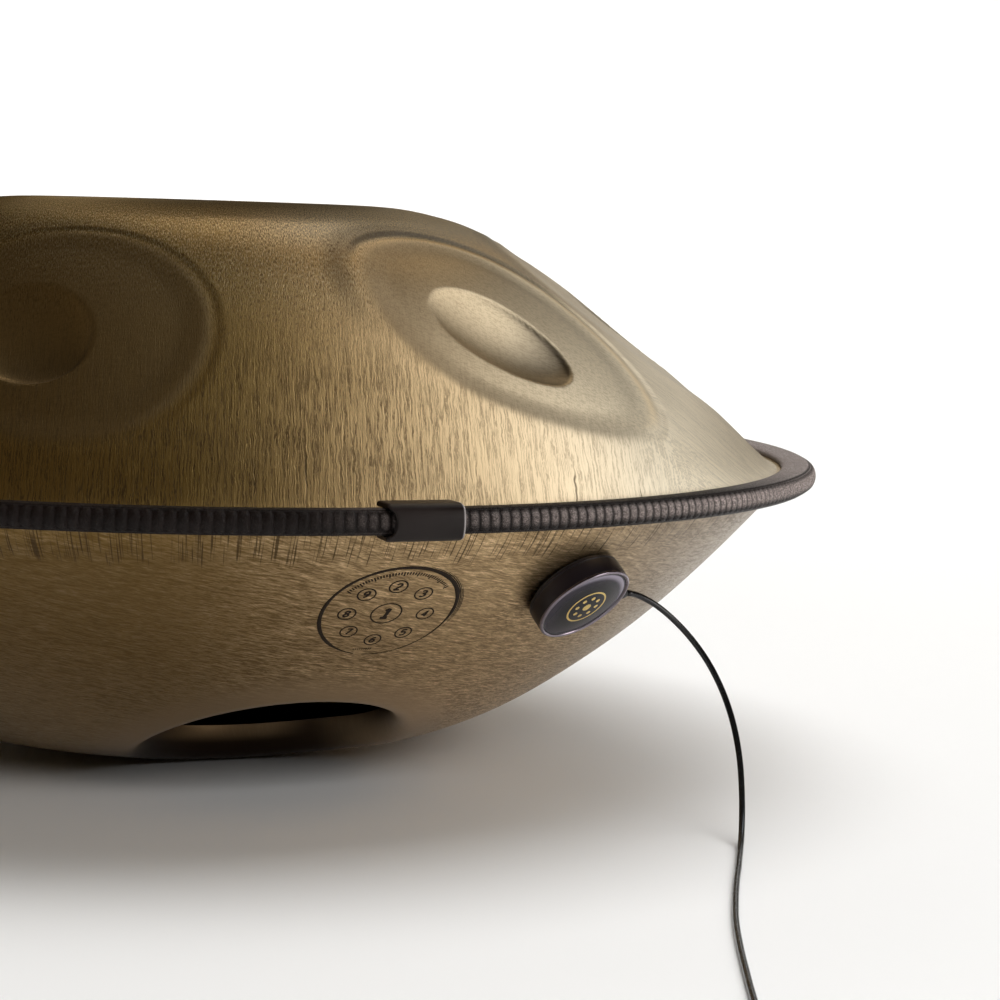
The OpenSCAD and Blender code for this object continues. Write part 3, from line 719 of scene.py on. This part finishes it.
def rim_cover():
    prof = rounded(COVER, 0.3, 2)
    bead = smoothstep((prof[:, 0] - 277.0) / 1.2) * (np.abs(prof[:, 1]) < 4.0)
    out = prof - COVER_MID
    out = out / np.linalg.norm(out, axis=1)[:, None]
    arc0, arc1 = SLEEVE_AZ + SEAM_GAP, SLEEVE_AZ + 360 - SEAM_GAP
    count = RIBS * PER_RIB

    def ripple(p, i, a):
        t = (i / PER_RIB) % 1.0
        dip = 0.85 * (1 - abs(math.sin(math.pi * t ** 1.4)) ** 0.75)
        lean = 0.05 * math.sin(TAU * i / count * 31)
        return p - out * (bead * (dip + lean + 0.02))[:, None]

    # Painted highlight: each rib is lightest left of its middle, and the rest of the profile grows lighter
    # past 46 degrees; the seam over the bead stays dark
    t = (np.arange(count) / PER_RIB) % 1.0
    crest = smoothstep((0.85 - t) / 0.35) * smoothstep(t / 0.2)
    face = smoothstep((prof[:, 1] + 3.6) / 3.2) * smoothstep((4.1 - prof[:, 1]) / 1.8)
    top = 0.75 * smoothstep((np.linspace(arc0, arc1, count) - 46) / 30)
    seam = band(prof[:, 0], 276.9, 0.45) * (np.abs(prof[:, 1]) > 3.2)
    rib = (crest[:, None] * bead * face + top[:, None] * (1 - bead)) * (1 - seam)
    return sweep_round("rim_cover_skin", prof, arc0, arc1, count, "leather", ripple, {"rib": rib.ravel()})


def joint_sleeve():
    outline = [(266.5, -5.3, 0.4), (267.0, -7.0, 0.9), (278.0, -7.2, 1), (281.0, -6.0, 2),
               (282, -2.5, 2), (282, 2.4, 2), (281.0, 5.8, 2), (278.2, 6.9, 1), (267.2, 6.9, 0.8),
               (265.9, 6.2, 0.6), (265.8, 5.2, 0.3), (267.3, 5.15, 0.2), (279.0, 5.15, 0.8),
               (280.35, 3.2, 1), (280.35, -3.4, 1), (279.2, -5.6, 1), (268.3, -5.6, 0.3),
               (267.9, -3.6, 0.3), (266.6, -3.6, 0.4)]
    prof = rounded(outline, 0.5, 4)
    mid = np.array([274.5, -0.2])
    half = SLEEVE_ARC / 2
    count = 61
    ends = 0.9 / 282 * 180 / math.pi

    def ripple(p, i, a):
        # The end edges are rounded over by drawing the outline in
        deg = math.degrees(a) - SLEEVE_AZ
        k = max(0.0, abs(deg) - (half - ends)) / ends
        outer = np.hypot(*(p - mid).T) > 6.6
        shrink = 0.45 * (1 - math.sqrt(max(0.0, 1 - k * k)))
        away = p - mid
        away = away / np.linalg.norm(away, axis=1)[:, None]
        return p - away * (outer * shrink)[:, None]

    ob = sweep_round("rim_joint_sleeve_skin", prof, SLEEVE_AZ - half, SLEEVE_AZ + half, count,
                     "sleeve", ripple)
    # The left end is cut in a C, and the right end's outer edge has a painted highlight
    wear_and_sheen = []
    for v in ob.data.vertices:
        x, y, z = v.co / MM
        r, deg = math.hypot(x, y), math.degrees(math.atan2(x, -y))
        near = max(0.0, 1 - (deg - (SLEEVE_AZ - half)) / 1.6)
        bay = max(0.0, 1 - ((z - RIM_H) / 5.2) ** 2) ** 0.5
        turned = math.radians(deg + 0.62 * near * bay * float(smoothstep((r - 272) / 4)))
        v.co = Vector((r * math.sin(turned), -r * math.cos(turned), z)) * MM
        wear_and_sheen.append(float(smoothstep((deg - (SLEEVE_AZ + half - 0.16)) / 0.06)) * (r > 270))
    add_attr(ob, "wear_and_sheen", wear_and_sheen)
    return ob


# ---- pickup
PICK_AZ, PICK_R = math.radians(38.7), 238.4
pick_slope = math.atan(-slope(LOW_T, PICK_R))
pick_base = Vector((PICK_R * math.sin(PICK_AZ), -PICK_R * math.cos(PICK_AZ),
                    RIM_H - float(hermite(LOW_T, PICK_R)))) * MM
tilt = Matrix.Rotation(PICK_AZ - math.pi / 2, 4, "Z") @ Matrix.Rotation(math.pi - pick_slope, 4, "Y")
PICK = Matrix.Translation(pick_base) @ tilt
PLUG = Matrix.Translation(Vector((74, -573.2, 7)) * MM) @ Matrix.Rotation(-math.pi / 2, 4, "Y")


def lathe(name, outline, place, mat, seg=144):
    """A closed outline of (radius, height) in mm turned about the local Z axis of place."""
    prof = np.asarray(outline, float)
    k = len(prof)
    ang = np.arange(seg) * TAU / seg
    verts = np.zeros((seg, k, 3))
    for i, a in enumerate(ang):
        verts[i] = np.column_stack([prof[:, 0] * math.cos(a), prof[:, 0] * math.sin(a), prof[:, 1]])
    faces = [(i * k + q, j * k + q, j * k + n, i * k + n) for i, j in pairs(seg) for q, n in pairs(k)]
    step = np.concatenate([[0], np.cumsum(np.linalg.norm(np.diff(prof, axis=0), axis=1))]) * MM
    ob = mesh_from(name, verts.reshape(-1, 3) * MM, faces, [mat], {"along": np.tile(step, seg)})
    rework(ob, join_doubles, drop_slivers)
    ob.data.transform(place)
    sharp_by_angle(ob, 35)
    return ob


PUCK_R, PUCK_H = 20.2, 9.6
DOME_R, DOME_RISE, DOME_FOOT = 18.2, 1.6, PUCK_H + 0.6


def dome_height(r):
    return DOME_FOOT + DOME_RISE * (1 - np.clip(np.asarray(r, float) / DOME_R, 0, 1) ** 2)


def housing():
    outline = rounded([(17.8, 1.0, 0.15), (19.5, 1.0, 0.15), (20.0, 1.3, 0.3), (20.0, 2.3, 0.2),
                       (19.75, 2.45, 0.1), (19.75, 2.7, 0.1), (PUCK_R, 2.9, 0.25),
                       (PUCK_R, PUCK_H - 0.02, 0.1), (0.02, PUCK_H - 0.02, 0), (0.02, 7.4, 0),
                       (17.8, 7.4, 0.2)], 0.2, 4)
    return lathe("pickup_housing_skin", outline, PICK, "house", 180)


def bezel():
    outline = rounded([(18.72, PUCK_H, 0.1), (PUCK_R, PUCK_H, 0.08), (PUCK_R, PUCK_H + 0.75, 0.25),
                       (19.75, PUCK_H + 1.15, 0.35), (19.3, PUCK_H + 1.2, 0.15),
                       (18.95, PUCK_H + 0.95, 0.12), (18.72, PUCK_H + 0.6, 0.1)], 0.1, 4)
    return lathe("pickup_bezel_skin", outline, PICK, "bezel", 180)


def badge():
    r = np.concatenate([np.linspace(0.001, 17.2, 26), [17.6, 17.9, 18.08, 18.18]])
    z = dome_height(r)
    z[-4:] = dome_height(17.2) - np.array([0.10, 0.24, 0.40, 0.60])
    z = np.maximum(z, PUCK_H + 0.62)
    outline = list(zip(r, z)) + [(18.18, DOME_FOOT), (0.001, DOME_FOOT)]
    ob = lathe("badge_dome_skin", outline, PICK, "resin", 144)
    inverse = PICK.inverted()
    # The pale crescent is a painted reflection, on the side towards (0.5, 0, 1)
    high = (inverse.to_3x3() @ Vector((0.5, 0, 1))).to_2d().normalized()
    reflection_crescent = []
    for v, a in zip(ob.data.vertices, ob.data.attributes["along"].data):
        p = (inverse @ v.co).to_2d() / (DOME_R * MM)
        a.value = p.length
        reflection_crescent.append(float(smoothstep(((p + high * 0.15).length - 0.97) / 0.13)) * (p.length < 0.99))
    add_attr(ob, "reflection_crescent", reflection_crescent)
    return ob


def emblem():
    """Plain pictogram: a ring round a dot, with eight dots between."""
    verts, faces = [], []

    def patch(outline):
        base, k = len(verts), len(outline)
        for lift in (0.06, -0.1):
            verts.extend((x, y, float(dome_height(math.hypot(x, y))) + lift) for x, y in outline)
        faces.append(tuple(range(base, base + k)))
        faces.extend((base + i, base + k + i, base + k + j, base + j) for i, j in pairs(k))
        faces.append(tuple(range(base + 2 * k - 1, base + k - 1, -1)))

    def spot(x, y, r, n=20):
        patch([(x + r * math.cos(TAU * i / n), y + r * math.sin(TAU * i / n)) for i in range(n)])

    n, inner, outer = 96, 8.2, 9
    for i in range(n):
        a, b = TAU * i / n, TAU * (i + 1) / n
        corners = (inner, a), (outer, a), (outer, b), (inner, b)
        patch([(r * math.cos(c), r * math.sin(c)) for r, c in corners])
    spot(0, 0, 1.9, 32)
    for k in range(8):
        spot(5.2 * math.cos(TAU * k / 8), 5.2 * math.sin(TAU * k / 8), 0.95)
    ob = mesh_from("badge_emblem_print", np.array(verts) * MM, faces, ["gold"], smooth=False)
    rework(ob, join_doubles, drop_facing_pairs)
    ob.data.transform(PICK)
    return ob


def grommet():
    place = PICK @ Matrix.Translation(Vector((0, 15.6, 7)) * MM) @ Matrix.Rotation(-math.pi / 2, 4, "X")
    outline = rounded([(1.25, 0, 0), (2.3, 0, 0.1), (2.3, 1.4, 0.1), (1.9, 1.5, 0.05), (1.9, 4.9, 0.05),
                       (2.3, 5.0, 0.1), (2.3, 7, 0.3), (2.1, 7.6, 0.2), (2.15, 8.1, 0.2), (1.9, 8.7, 0.2),
                       (1.95, 9.2, 0.2), (1.7, 10, 0.2), (1.25, 10, 0)], 0.1, 3)
    return lathe("cable_grommet_skin", outline, place, "rubber", 48)


# ---- cable
# The seen run and the end at the plug, in mm, as part.scad has them
ROUTE = [[172.9, -174, 94.4], [177, -170.9, 93.4], [181.4, -168.2, 91.4], [186.2, -166, 88.6],
         [190.8, -164.6, 85.2], [195.4, -163.8, 81.2], [200, -163.6, 76.6], [204.4, -164.2, 71.4],
         [208.4, -165.6, 65.8], [211.8, -167.6, 59.8], [214.6, -170.2, 53.6], [216.8, -173.2, 47.2],
         [218.4, -176.8, 40.6], [219.4, -180.8, 33.8], [219.8, -185.4, 27], [219.6, -190.4, 20.4],
         [219, -196, 14.2], [218, -202.2, 8.8], [216.6, -209.4, 4.6], [214.8, -217.6, 2.2],
         [212.8, -227, 1.4], [210.4, -238, 1.3], [207.4, -252, 1.3], [203.8, -268, 1.3],
         [200, -286, 1.3], [196.4, -304, 1.3], [193, -322, 1.3], [190, -340, 1.3], [187.4, -358, 1.3],
         [185, -376, 1.3], [182.8, -394, 1.3], [180.6, -412, 1.3], [178.6, -430, 1.3],
         [176.8, -448, 1.3], [175.4, -466, 1.3], [174.6, -484, 1.3], [174.2, -500, 1.3],
         [174, -512, 1.3]]
TAIL = [[124, -573.2, 1.6], [116, -573.2, 1.9], [108, -573.2, 2.8], [101, -573.2, 4],
        [94, -573.2, 5.2], [87, -573.2, 6.2], [80, -573.2, 6.8], [74, -573.2, 7], [65, -573.2, 7]]
COIL_C = np.array([126.0, -525.0])
CABLE_D = 2.5
# Radius and height of each stored turn
TURNS = [(48.0, 1.3), (45.45, 1.3), (43.0, 1.35), (44.2, 3.65), (46.7, 3.7), (48.4, 4.4), (47.3, 6.3),
         (44.9, 6.3)]
PER_TURN = 40


def coil_points():
    """The stored cable: three layers of turns, and a quarter turn that comes down to the plug."""
    pts = []
    count = len(TURNS)
    down = count - 0.1
    for i in range(1, int((count + 0.25) * PER_TURN)):
        turns = i / PER_TURN
        k = min(int(turns), count - 1)
        f = smoothstep((turns - k - 0.72) / 0.28)
        after = TURNS[min(k + 1, count - 1)]
        r = TURNS[k][0] * (1 - f) + after[0] * f
        z = TURNS[k][1] * (1 - f) + after[1] * f
        if turns > down:
            g = float(smoothstep((turns - down) / 0.35))
            r, z = r * (1 - g) + 48.2 * g, z * (1 - g) + 2.2 * g
        a = -TAU * turns
        pts.append([COIL_C[0] + r * math.cos(a), COIL_C[1] + r * math.sin(a), z])
    return pts


def catmull(points, step):
    """A smooth curve through the points, in steps of about the given length."""
    p = np.array(points, float)
    p = np.vstack([2 * p[0] - p[1], p, 2 * p[-1] - p[-2]])
    out = []
    for i in range(1, len(p) - 2):
        a, b, c, d = p[i - 1:i + 3]
        n = max(1, int(round(np.linalg.norm(c - b) / step)))
        for k in range(n):
            t = k / n
            out.append(0.5 * ((2 * b) + (c - a) * t + (2 * a - 5 * b + 4 * c - d) * t * t
                              + (3 * b - a - 3 * c + d) * t ** 3))
    out.append(p[-2])
    return np.array(out)


def tube(name, pts, radius, mat, sides=12):
    """A round tube along the points, with its ends closed."""
    tan = np.gradient(pts, axis=0)
    tan /= np.linalg.norm(tan, axis=1)[:, None]
    normal = np.cross(tan[0], [0.3, 0.2, 1.0])
    rings = []
    for p, t in zip(pts, tan):
        normal = normal - t * normal.dot(t)
        normal /= np.linalg.norm(normal)
        other = np.cross(t, normal)
        ang = np.arange(sides) * TAU / sides
        rings.append(p + radius * (np.cos(ang)[:, None] * normal + np.sin(ang)[:, None] * other))
    ob = mesh_from(name, np.vstack(rings) * MM, capped(len(pts), sides), [mat])
    rework(ob)
    return ob


cable_path = catmull(ROUTE + coil_points() + TAIL[1:], 3.0)
cable = tube("pickup_cable_run", cable_path, CABLE_D / 2, "cable")
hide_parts("pickup_cable", "cable_coil", "cable_tail")
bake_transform(cable)


def tie():
    """Hook-and-loop strap wrapped round the coil."""
    loop = rounded([(40.6, 0.15, 1.2), (51.3, 0.15, 1.2), (51.3, 8.0, 2.2), (49.4, 9.9, 1.5),
                    (42.6, 9.9, 1.5), (40.6, 8.0, 2.2)], 1.2, 5)
    mid = loop.mean(0)
    inner = mid + (loop - mid) * 0.86
    widths, k = np.linspace(-6, 6, 9), len(loop)
    skins = [], []
    for w in widths:
        # The edges are a little thinner than the middle
        edge = 0.12 * (abs(w) / 6) ** 6
        for skin, p, low in zip(skins, (loop - edge * (loop - inner), inner), (0.05, 0.3)):
            skin.append(np.column_stack([p[:, 0], np.full(k, w), np.maximum(p[:, 1], low)]))
    verts = np.vstack(skins[0] + skins[1]) * MM
    ob = mesh_from("coil_tie_strap", verts, two_skins(len(widths), k), ["strap"])
    rework(ob)
    ob.data.transform(Matrix.Translation((COIL_C[0] * MM, COIL_C[1] * MM, 0))
                      @ Matrix.Rotation(math.radians(115), 4, "Z"))
    sharp_by_angle(ob, 40)
    return ob


def plug_parts():
    boot = [(1.25, -14, 0), (2.1, -14, 0.2)]
    for k in range(5):
        z = -12.4 + 2.3 * k
        r = 2.35 + 0.26 * k
        boot += [(r + 0.12, z, 0.15), (r + 0.14, z + 1.2, 0.15), (r - 0.18, z + 1.35, 0.1),
                 (r - 0.16, z + 2.15, 0.1)]
    boot += [(3.6, -0.5, 0.2), (3.6, 4, 0.1), (1.25, 4, 0)]
    barrel = [(3.6, 0.5, 0.1), (5, 0.5, 0.5), (6.2, 2.5, 0.6), (7, 6, 0.6), (7, 10.0, 0.1)]
    for k in range(12):
        z = 10.2 + 1.0 * k
        barrel += [(6.75, z, 0.05), (6.75, z + 0.25, 0.05), (7, z + 0.4, 0.08), (7, z + 0.9, 0.08)]
    barrel += [(7, 22.4, 0.1), (7, 27, 0.5), (6.4, 28.5, 0.3), (6.4, 33, 0.4), (5.6, 34, 0.3),
               (3.15, 34, 0.1), (3.15, 31, 0.1), (4.8, 31, 0.1), (4.8, 4, 0.1), (3.6, 4, 0.1)]
    shaft = [(1.9, 29, 0), (4.78, 29, 0.1), (4.78, 31, 0.1), (3.1, 31, 0.05), (3.1, 34, 0.05),
             (3.175, 34, 0.05), (3.175, 55.38, 0.1), (1.9, 55.38, 0)]
    ring = [(1.2, 55.4, 0), (3.16, 55.4, 0.05), (3.16, 56.6, 0.05), (1.2, 56.6, 0)]
    tip = [(0.002, 56.62, 0), (3.17, 56.62, 0.1), (3.17, 58.2, 0.4), (2.2, 60.1, 0.5), (2.5, 61.3, 0.3),
           (3.1, 62, 0.5), (2.9, 63, 0.6), (0.9, 65.6, 0.6), (0.002, 65.78, 0)]
    made = []
    for name, node, outline, mat in (
            ("plug_boot_skin", "plug_boot", boot, "rubber"),
            ("plug_barrel_skin", "plug_barrel", barrel, "barrel"),
            ("plug_shaft_skin", "plug_sleeve_contact", shaft, "nickel"),
            ("plug_ring_skin", "plug_insulator", ring, "plastic"),
            ("plug_tip_skin", "plug_tip_contact", tip, "nickel")):
        ob = lathe(name, rounded(outline, 0.1, 3), PLUG, mat, 96)
        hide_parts(node)
        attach(ob, "pan")
        made.append(ob)
    return made


strap = tie()
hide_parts("coil_tie")
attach(strap, "pan")
plug = plug_parts()

# ---- pieces that replace CAD nodes
for make, node, body, slot in (
        (top_shell, "top_shell", "pan", "shell_steel_top"),
        (low_shell, "bottom_shell", "pan", "shell_steel_bottom"),
        (rim_cover, "rim_cover", "pan", "cover_leatherette"),
        (joint_sleeve, "rim_joint_sleeve", "pan", "sleeve_rubber"),
        (housing, "pickup_housing", "pickup", "housing_black"),
        (bezel, "pickup_bezel", "pickup", "bezel_metal"),
        (badge, "badge_dome", "pickup", "badge_gloss"),
        (emblem, "badge_emblem", "pickup", "gold_foil"),
        (grommet, "cable_grommet", "pickup", "pad_rubber")):
    piece = make()
    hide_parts(node)
    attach(piece, body)


# ---- round marking
MARK_AZ, MARK_R, RING_R = math.radians(18.9), 230.5, 27.3
mark_slope = math.atan(-slope(LOW_T, MARK_R))


def on_shell(s, t, lift):
    """A point of the marking: s towards the rim and t to the right, in mm along the shell."""
    r = MARK_R + s * math.cos(mark_slope)
    a = MARK_AZ + t / MARK_R
    fall = -float(slope(LOW_T, r))
    z = RIM_H - float(hermite(LOW_T, r))
    k = lift / math.hypot(1, fall)
    rr = r + k * fall
    return rr * math.sin(a), -rr * math.cos(a), z - k


def circle(s, t, r, n, start=0.0, stop=TAU):
    a = start + (stop - start) * np.arange(n) / (n if abs(stop - start) >= TAU else n - 1)
    return np.stack([s + r * np.cos(a), t + r * np.sin(a)], 1)


# Digit strokes on a 2 by 4 grid, x to the right and y up
DIGITS = {
    "1": [[(0.3, 3.2), (1.2, 4), (1.2, 0)], [(0.2, 0), (2.1, 0)]],
    "2": [[(0, 3.2), (0.4, 3.9), (1.5, 3.9), (2, 3.1), (1.7, 2.2), (0, 0), (2, 0)]],
    "3": [[(0, 3.6), (0.8, 4), (1.7, 3.6), (1.8, 2.7), (0.9, 2.1), (1.9, 1.5), (1.9, 0.5), (0.9, 0),
           (0, 0.4)]],
    "4": [[(1.5, 0), (1.5, 4), (0, 1.2), (2, 1.2)]],
    "5": [[(1.9, 4), (0.2, 4), (0.1, 2.3), (1.3, 2.5), (2, 1.7), (1.8, 0.5), (0.9, 0), (0, 0.4)]],
    "6": [[(1.8, 3.8), (0.7, 3.4), (0.1, 1.8), (0.3, 0.4), (1.1, 0), (1.9, 0.6), (1.9, 1.7), (1.1, 2.2),
           (0.2, 1.5)]],
    "7": [[(0, 4), (2, 4), (0.7, 0)]],
    "8": [[(1, 2.1), (0.2, 2.8), (0.3, 3.7), (1, 4), (1.7, 3.7), (1.8, 2.8), (1, 2.1), (0.1, 1.4),
           (0.2, 0.4), (1, 0), (1.8, 0.4), (1.9, 1.4), (1, 2.1)]],
    "9": [[(1.8, 2.5), (0.9, 1.8), (0.1, 2.3), (0.1, 3.4), (0.9, 4), (1.7, 3.6), (1.9, 2.2), (1.3, 0.6),
           (0.3, 0.2)]],
}


def note_map():
    """A worn outer ring, a numbered circle for each note, graduations and a row of dashes."""
    verts, faces = [], []

    def draw(pts, widths, closed=False):
        """Adds a thin raised line of changing width."""
        pts = np.asarray(pts, float)
        n, base = len(pts), len(verts)
        tan = np.roll(pts, -1, 0) - np.roll(pts, 1, 0) if closed else np.gradient(pts, axis=0)
        tan /= np.maximum(np.linalg.norm(tan, axis=1), 1e-9)[:, None]
        side = np.stack([-tan[:, 1], tan[:, 0]], 1)
        for p, q, w in zip(pts, side, widths):
            for k, lift in ((0.5, 0.035), (-0.5, 0.035), (-0.5, -0.05), (0.5, -0.05)):
                verts.append(on_shell(*(p + q * w * k), lift))
        for i, j in pairs(n)[:n if closed else n - 1]:
            a, b = base + 4 * i, base + 4 * j
            faces.extend((a + k, a + m, b + m, b + k) for k, m in pairs(4))
        if not closed:
            e = base + 4 * (n - 1)
            faces.extend([(base + 3, base + 2, base + 1, base), (e, e + 1, e + 2, e + 3)])

    deg = np.linspace(-165, 187, 180)
    turn = np.radians(deg)
    bold = np.interp(deg, [-165, -150, -130, -90, -60, -20, 0, 30, 60, 90, 110, 140, 187],
                     [0.3, 0.7, 1.3, 1.4, 1.05, 1.1, 1.35, 1.5, 1.5, 1.25, 0.75, 0.55, 0.45])
    bold += 0.08 * np.sin(turn * 13) + 0.05 * np.sin(turn * 29 + 1)
    draw(np.stack([RING_R * np.cos(turn), RING_R * np.sin(turn)], 1), bold * 1.2)
    # Loose strokes beside the ring: distance from it, start, stop and width
    for off, a0, a1, w in ((0.95, 0.3, 1.8, 0.5), (1.55, 0.6, 1.9, 0.36), (2.1, 0.95, 1.75, 0.3),
                           (-0.95, 0.5, 1.4, 0.32), (-0.85, -2.3, -1.5, 0.3)):
        swell = np.sin(np.linspace(0.25, math.pi - 0.25, 40))
        draw(circle(0, 0, RING_R + 0.3 + off, 40, a0, a1), np.full(40, w) * swell)
    draw(circle(0.4, -1.1, 6.1, 60), np.full(60, 0.68), True)
    spots = [(16.6, -1.0), (12.0, 10.4), (-0.7, 15.6), (-12.7, 10.6), (-16.9, -1.5), (-10.7, -13.5),
             (0.8, -17.1), (12.4, -12.2)]

    def digit(d, s, t, high, w):
        k = high / 4
        for stroke in DIGITS[d]:
            pts = np.array([(s + (y - 2) * k, t + (x - 1 + 0.2 * (y - 2)) * k * 1.15) for x, y in stroke])
            fine = catmull(np.column_stack([pts, np.zeros(len(pts))]), 0.25)[:, :2]
            if d in "147":
                fine = np.vstack([np.linspace(a, b, 8)[:-1] for a, b in zip(pts[:-1], pts[1:])] + [pts[-1:]])
            draw(fine, np.full(len(fine), w))

    digit("1", 0.4, -1.1, 5.4, 1.55)
    for k, (s, t) in enumerate(spots):
        draw(circle(s, t, 3.45, 40), np.full(40, 0.66), True)
        digit(str(k + 2), s, t, 3.4, 0.88)
    # Plain graduations round the upper edge, and a short row of dashes at the lower one
    for k in range(41):
        a = math.radians(-54 + 104 * k / 40)
        tall = 2.2 if k % 5 == 0 else 1.5
        radii = [24.9 - q for q in (0, tall / 2, tall)]
        draw([(q * math.cos(a), q * math.sin(a)) for q in radii], [0.62] * 3)
    for k in range(9):
        t = -8.0 + 0.95 * k
        draw([(-23.4 - 0.05 * k, t - 0.25), (-23.3, t), (-23.2 + 0.05 * k, t + 0.25)], [0.6] * 3)
    ob = mesh_from("note_map_marking", np.array(verts) * MM, faces, ["ink"])
    rework(ob)
    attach(ob, "pan")


note_map()

# ---- CAD pieces that stay
KEPT = {"flange_adhesive": "glue", "rim_clip_strip": "spring", "contact_pad": "rubber",
        "pickup_base_plate": "plastic", "pickup_magnets": "spring", "base_screws": "spring",
        "piezo_disc": "brass", "piezo_ceramic": "ceramic", "damping_foam": "foam",
        "signal_leads": "lead", "badge_plate": "plastic", "cable_end": "cable"}
for node, mat in KEPT.items():
    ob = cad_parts[node]
    ob.data.materials.clear()
    ob.data.materials.append(MATS[mat])

# ---- floor and light
FLOOR_FRONT, FLOOR_END, CURVE, WALL_TOP, HALF_WIDTH = -8.0, 3.0, 2.0, 7.0, 12.0


def sheet(name, outline):
    """A wide sheet along X whose section is a list of (y, z)."""
    n = len(outline)
    verts = [(x, y, z) for x in (-HALF_WIDTH, HALF_WIDTH) for y, z in outline]
    ob = mesh_from(name, verts, [(i, i + n, i + n + 1, i + 1) for i in range(n - 1)], ["floor"])
    return ob


sheet("studio_floor", [(FLOOR_FRONT, 0.0), (FLOOR_END, 0.0)])
bend = [math.pi / 2 * k / 12 for k in range(13)]
wall = sheet("studio_backdrop", [(FLOOR_END + CURVE * math.sin(a), CURVE * (1 - math.cos(a))) for a in bend]
             + [(FLOOR_END + CURVE, WALL_TOP)])
wall.visible_glossy = False


def area_light(name, place, target, size, power, colour, unseen):
    data = bpy.data.lights.new(name, "AREA")
    data.shape, data.size, data.size_y = "RECTANGLE", *size
    data.energy, data.color = power, colour
    ob = bpy.data.objects.new(name, data)
    scene.collection.objects.link(ob)
    ob.location = place
    ob.rotation_euler = (Vector(target) - Vector(place)).to_track_quat("-Z", "Y").to_euler()
    for ray in unseen:
        setattr(ob, "visible_" + ray, False)


# Lights that only show as glints on the steel, and lights that only light the floor and walls
GLINT, WASH = ("camera", "diffuse"), ("glossy",)
WHITE = (1, 1, 1)
for light in (
        ("key_right", (1.50, 0.62, 1.90), (0.05, 0, 0.15), (1.1, 1.1), 9.7, (0.94, 1.0, 1.07), GLINT),
        ("crease_strip", (0.50, 1.38, 1.635), (0, 0, 0.2), (0.9, 0.13), 1.75, (1.0, 0.87, 0.66), GLINT),
        ("far_slope", (1.24, 2.15, 0.78), (0.1, 0, 0.2), (0.9, 0.6), 0.7, (0.98, 1.0, 1.03), GLINT),
        ("crown_low", (0.90, 2.74, 0.60), (0.05, 0, 0.24), (0.5, 0.3), 0.6, (1.0, 0.98, 0.94), GLINT),
        ("cover_right", (1.9, -1.15, 0.45), (0.15, -0.15, 0.13), (1.0, 0.8), 14, (1.0, 0.96, 0.94), GLINT),
        ("left_back", (-2.2, 1.2, 1.5), (0, 0, 0.1), (1.2, 1.2), 1.5, (1.0, 0.86, 0.62), ("camera",)),
        ("floor_wash", (0.7, 0.3, 2.8), (0.2, 0.0, 0), (3.0, 3.0), 85, WHITE, WASH),
        ("floor_front", (1.1, -2.4, 1.3), (0.0, -0.1, 0), (2.0, 1.0), 40, WHITE, WASH),
        ("backdrop_wash", (0.0, 2.2, 3.2), (0.0, 5.0, 1.2), (5.0, 1.0), 160, WHITE, WASH)):
    area_light(*light)
world = bpy.data.worlds.new("studio")
scene.world = world
world.use_nodes = True
sky = world.node_tree.nodes["Background"].inputs
sky["Color"].default_value = (1.0, 0.77, 0.44, 1)
sky["Strength"].default_value = 0.05
scene.view_settings.view_transform = "Standard"
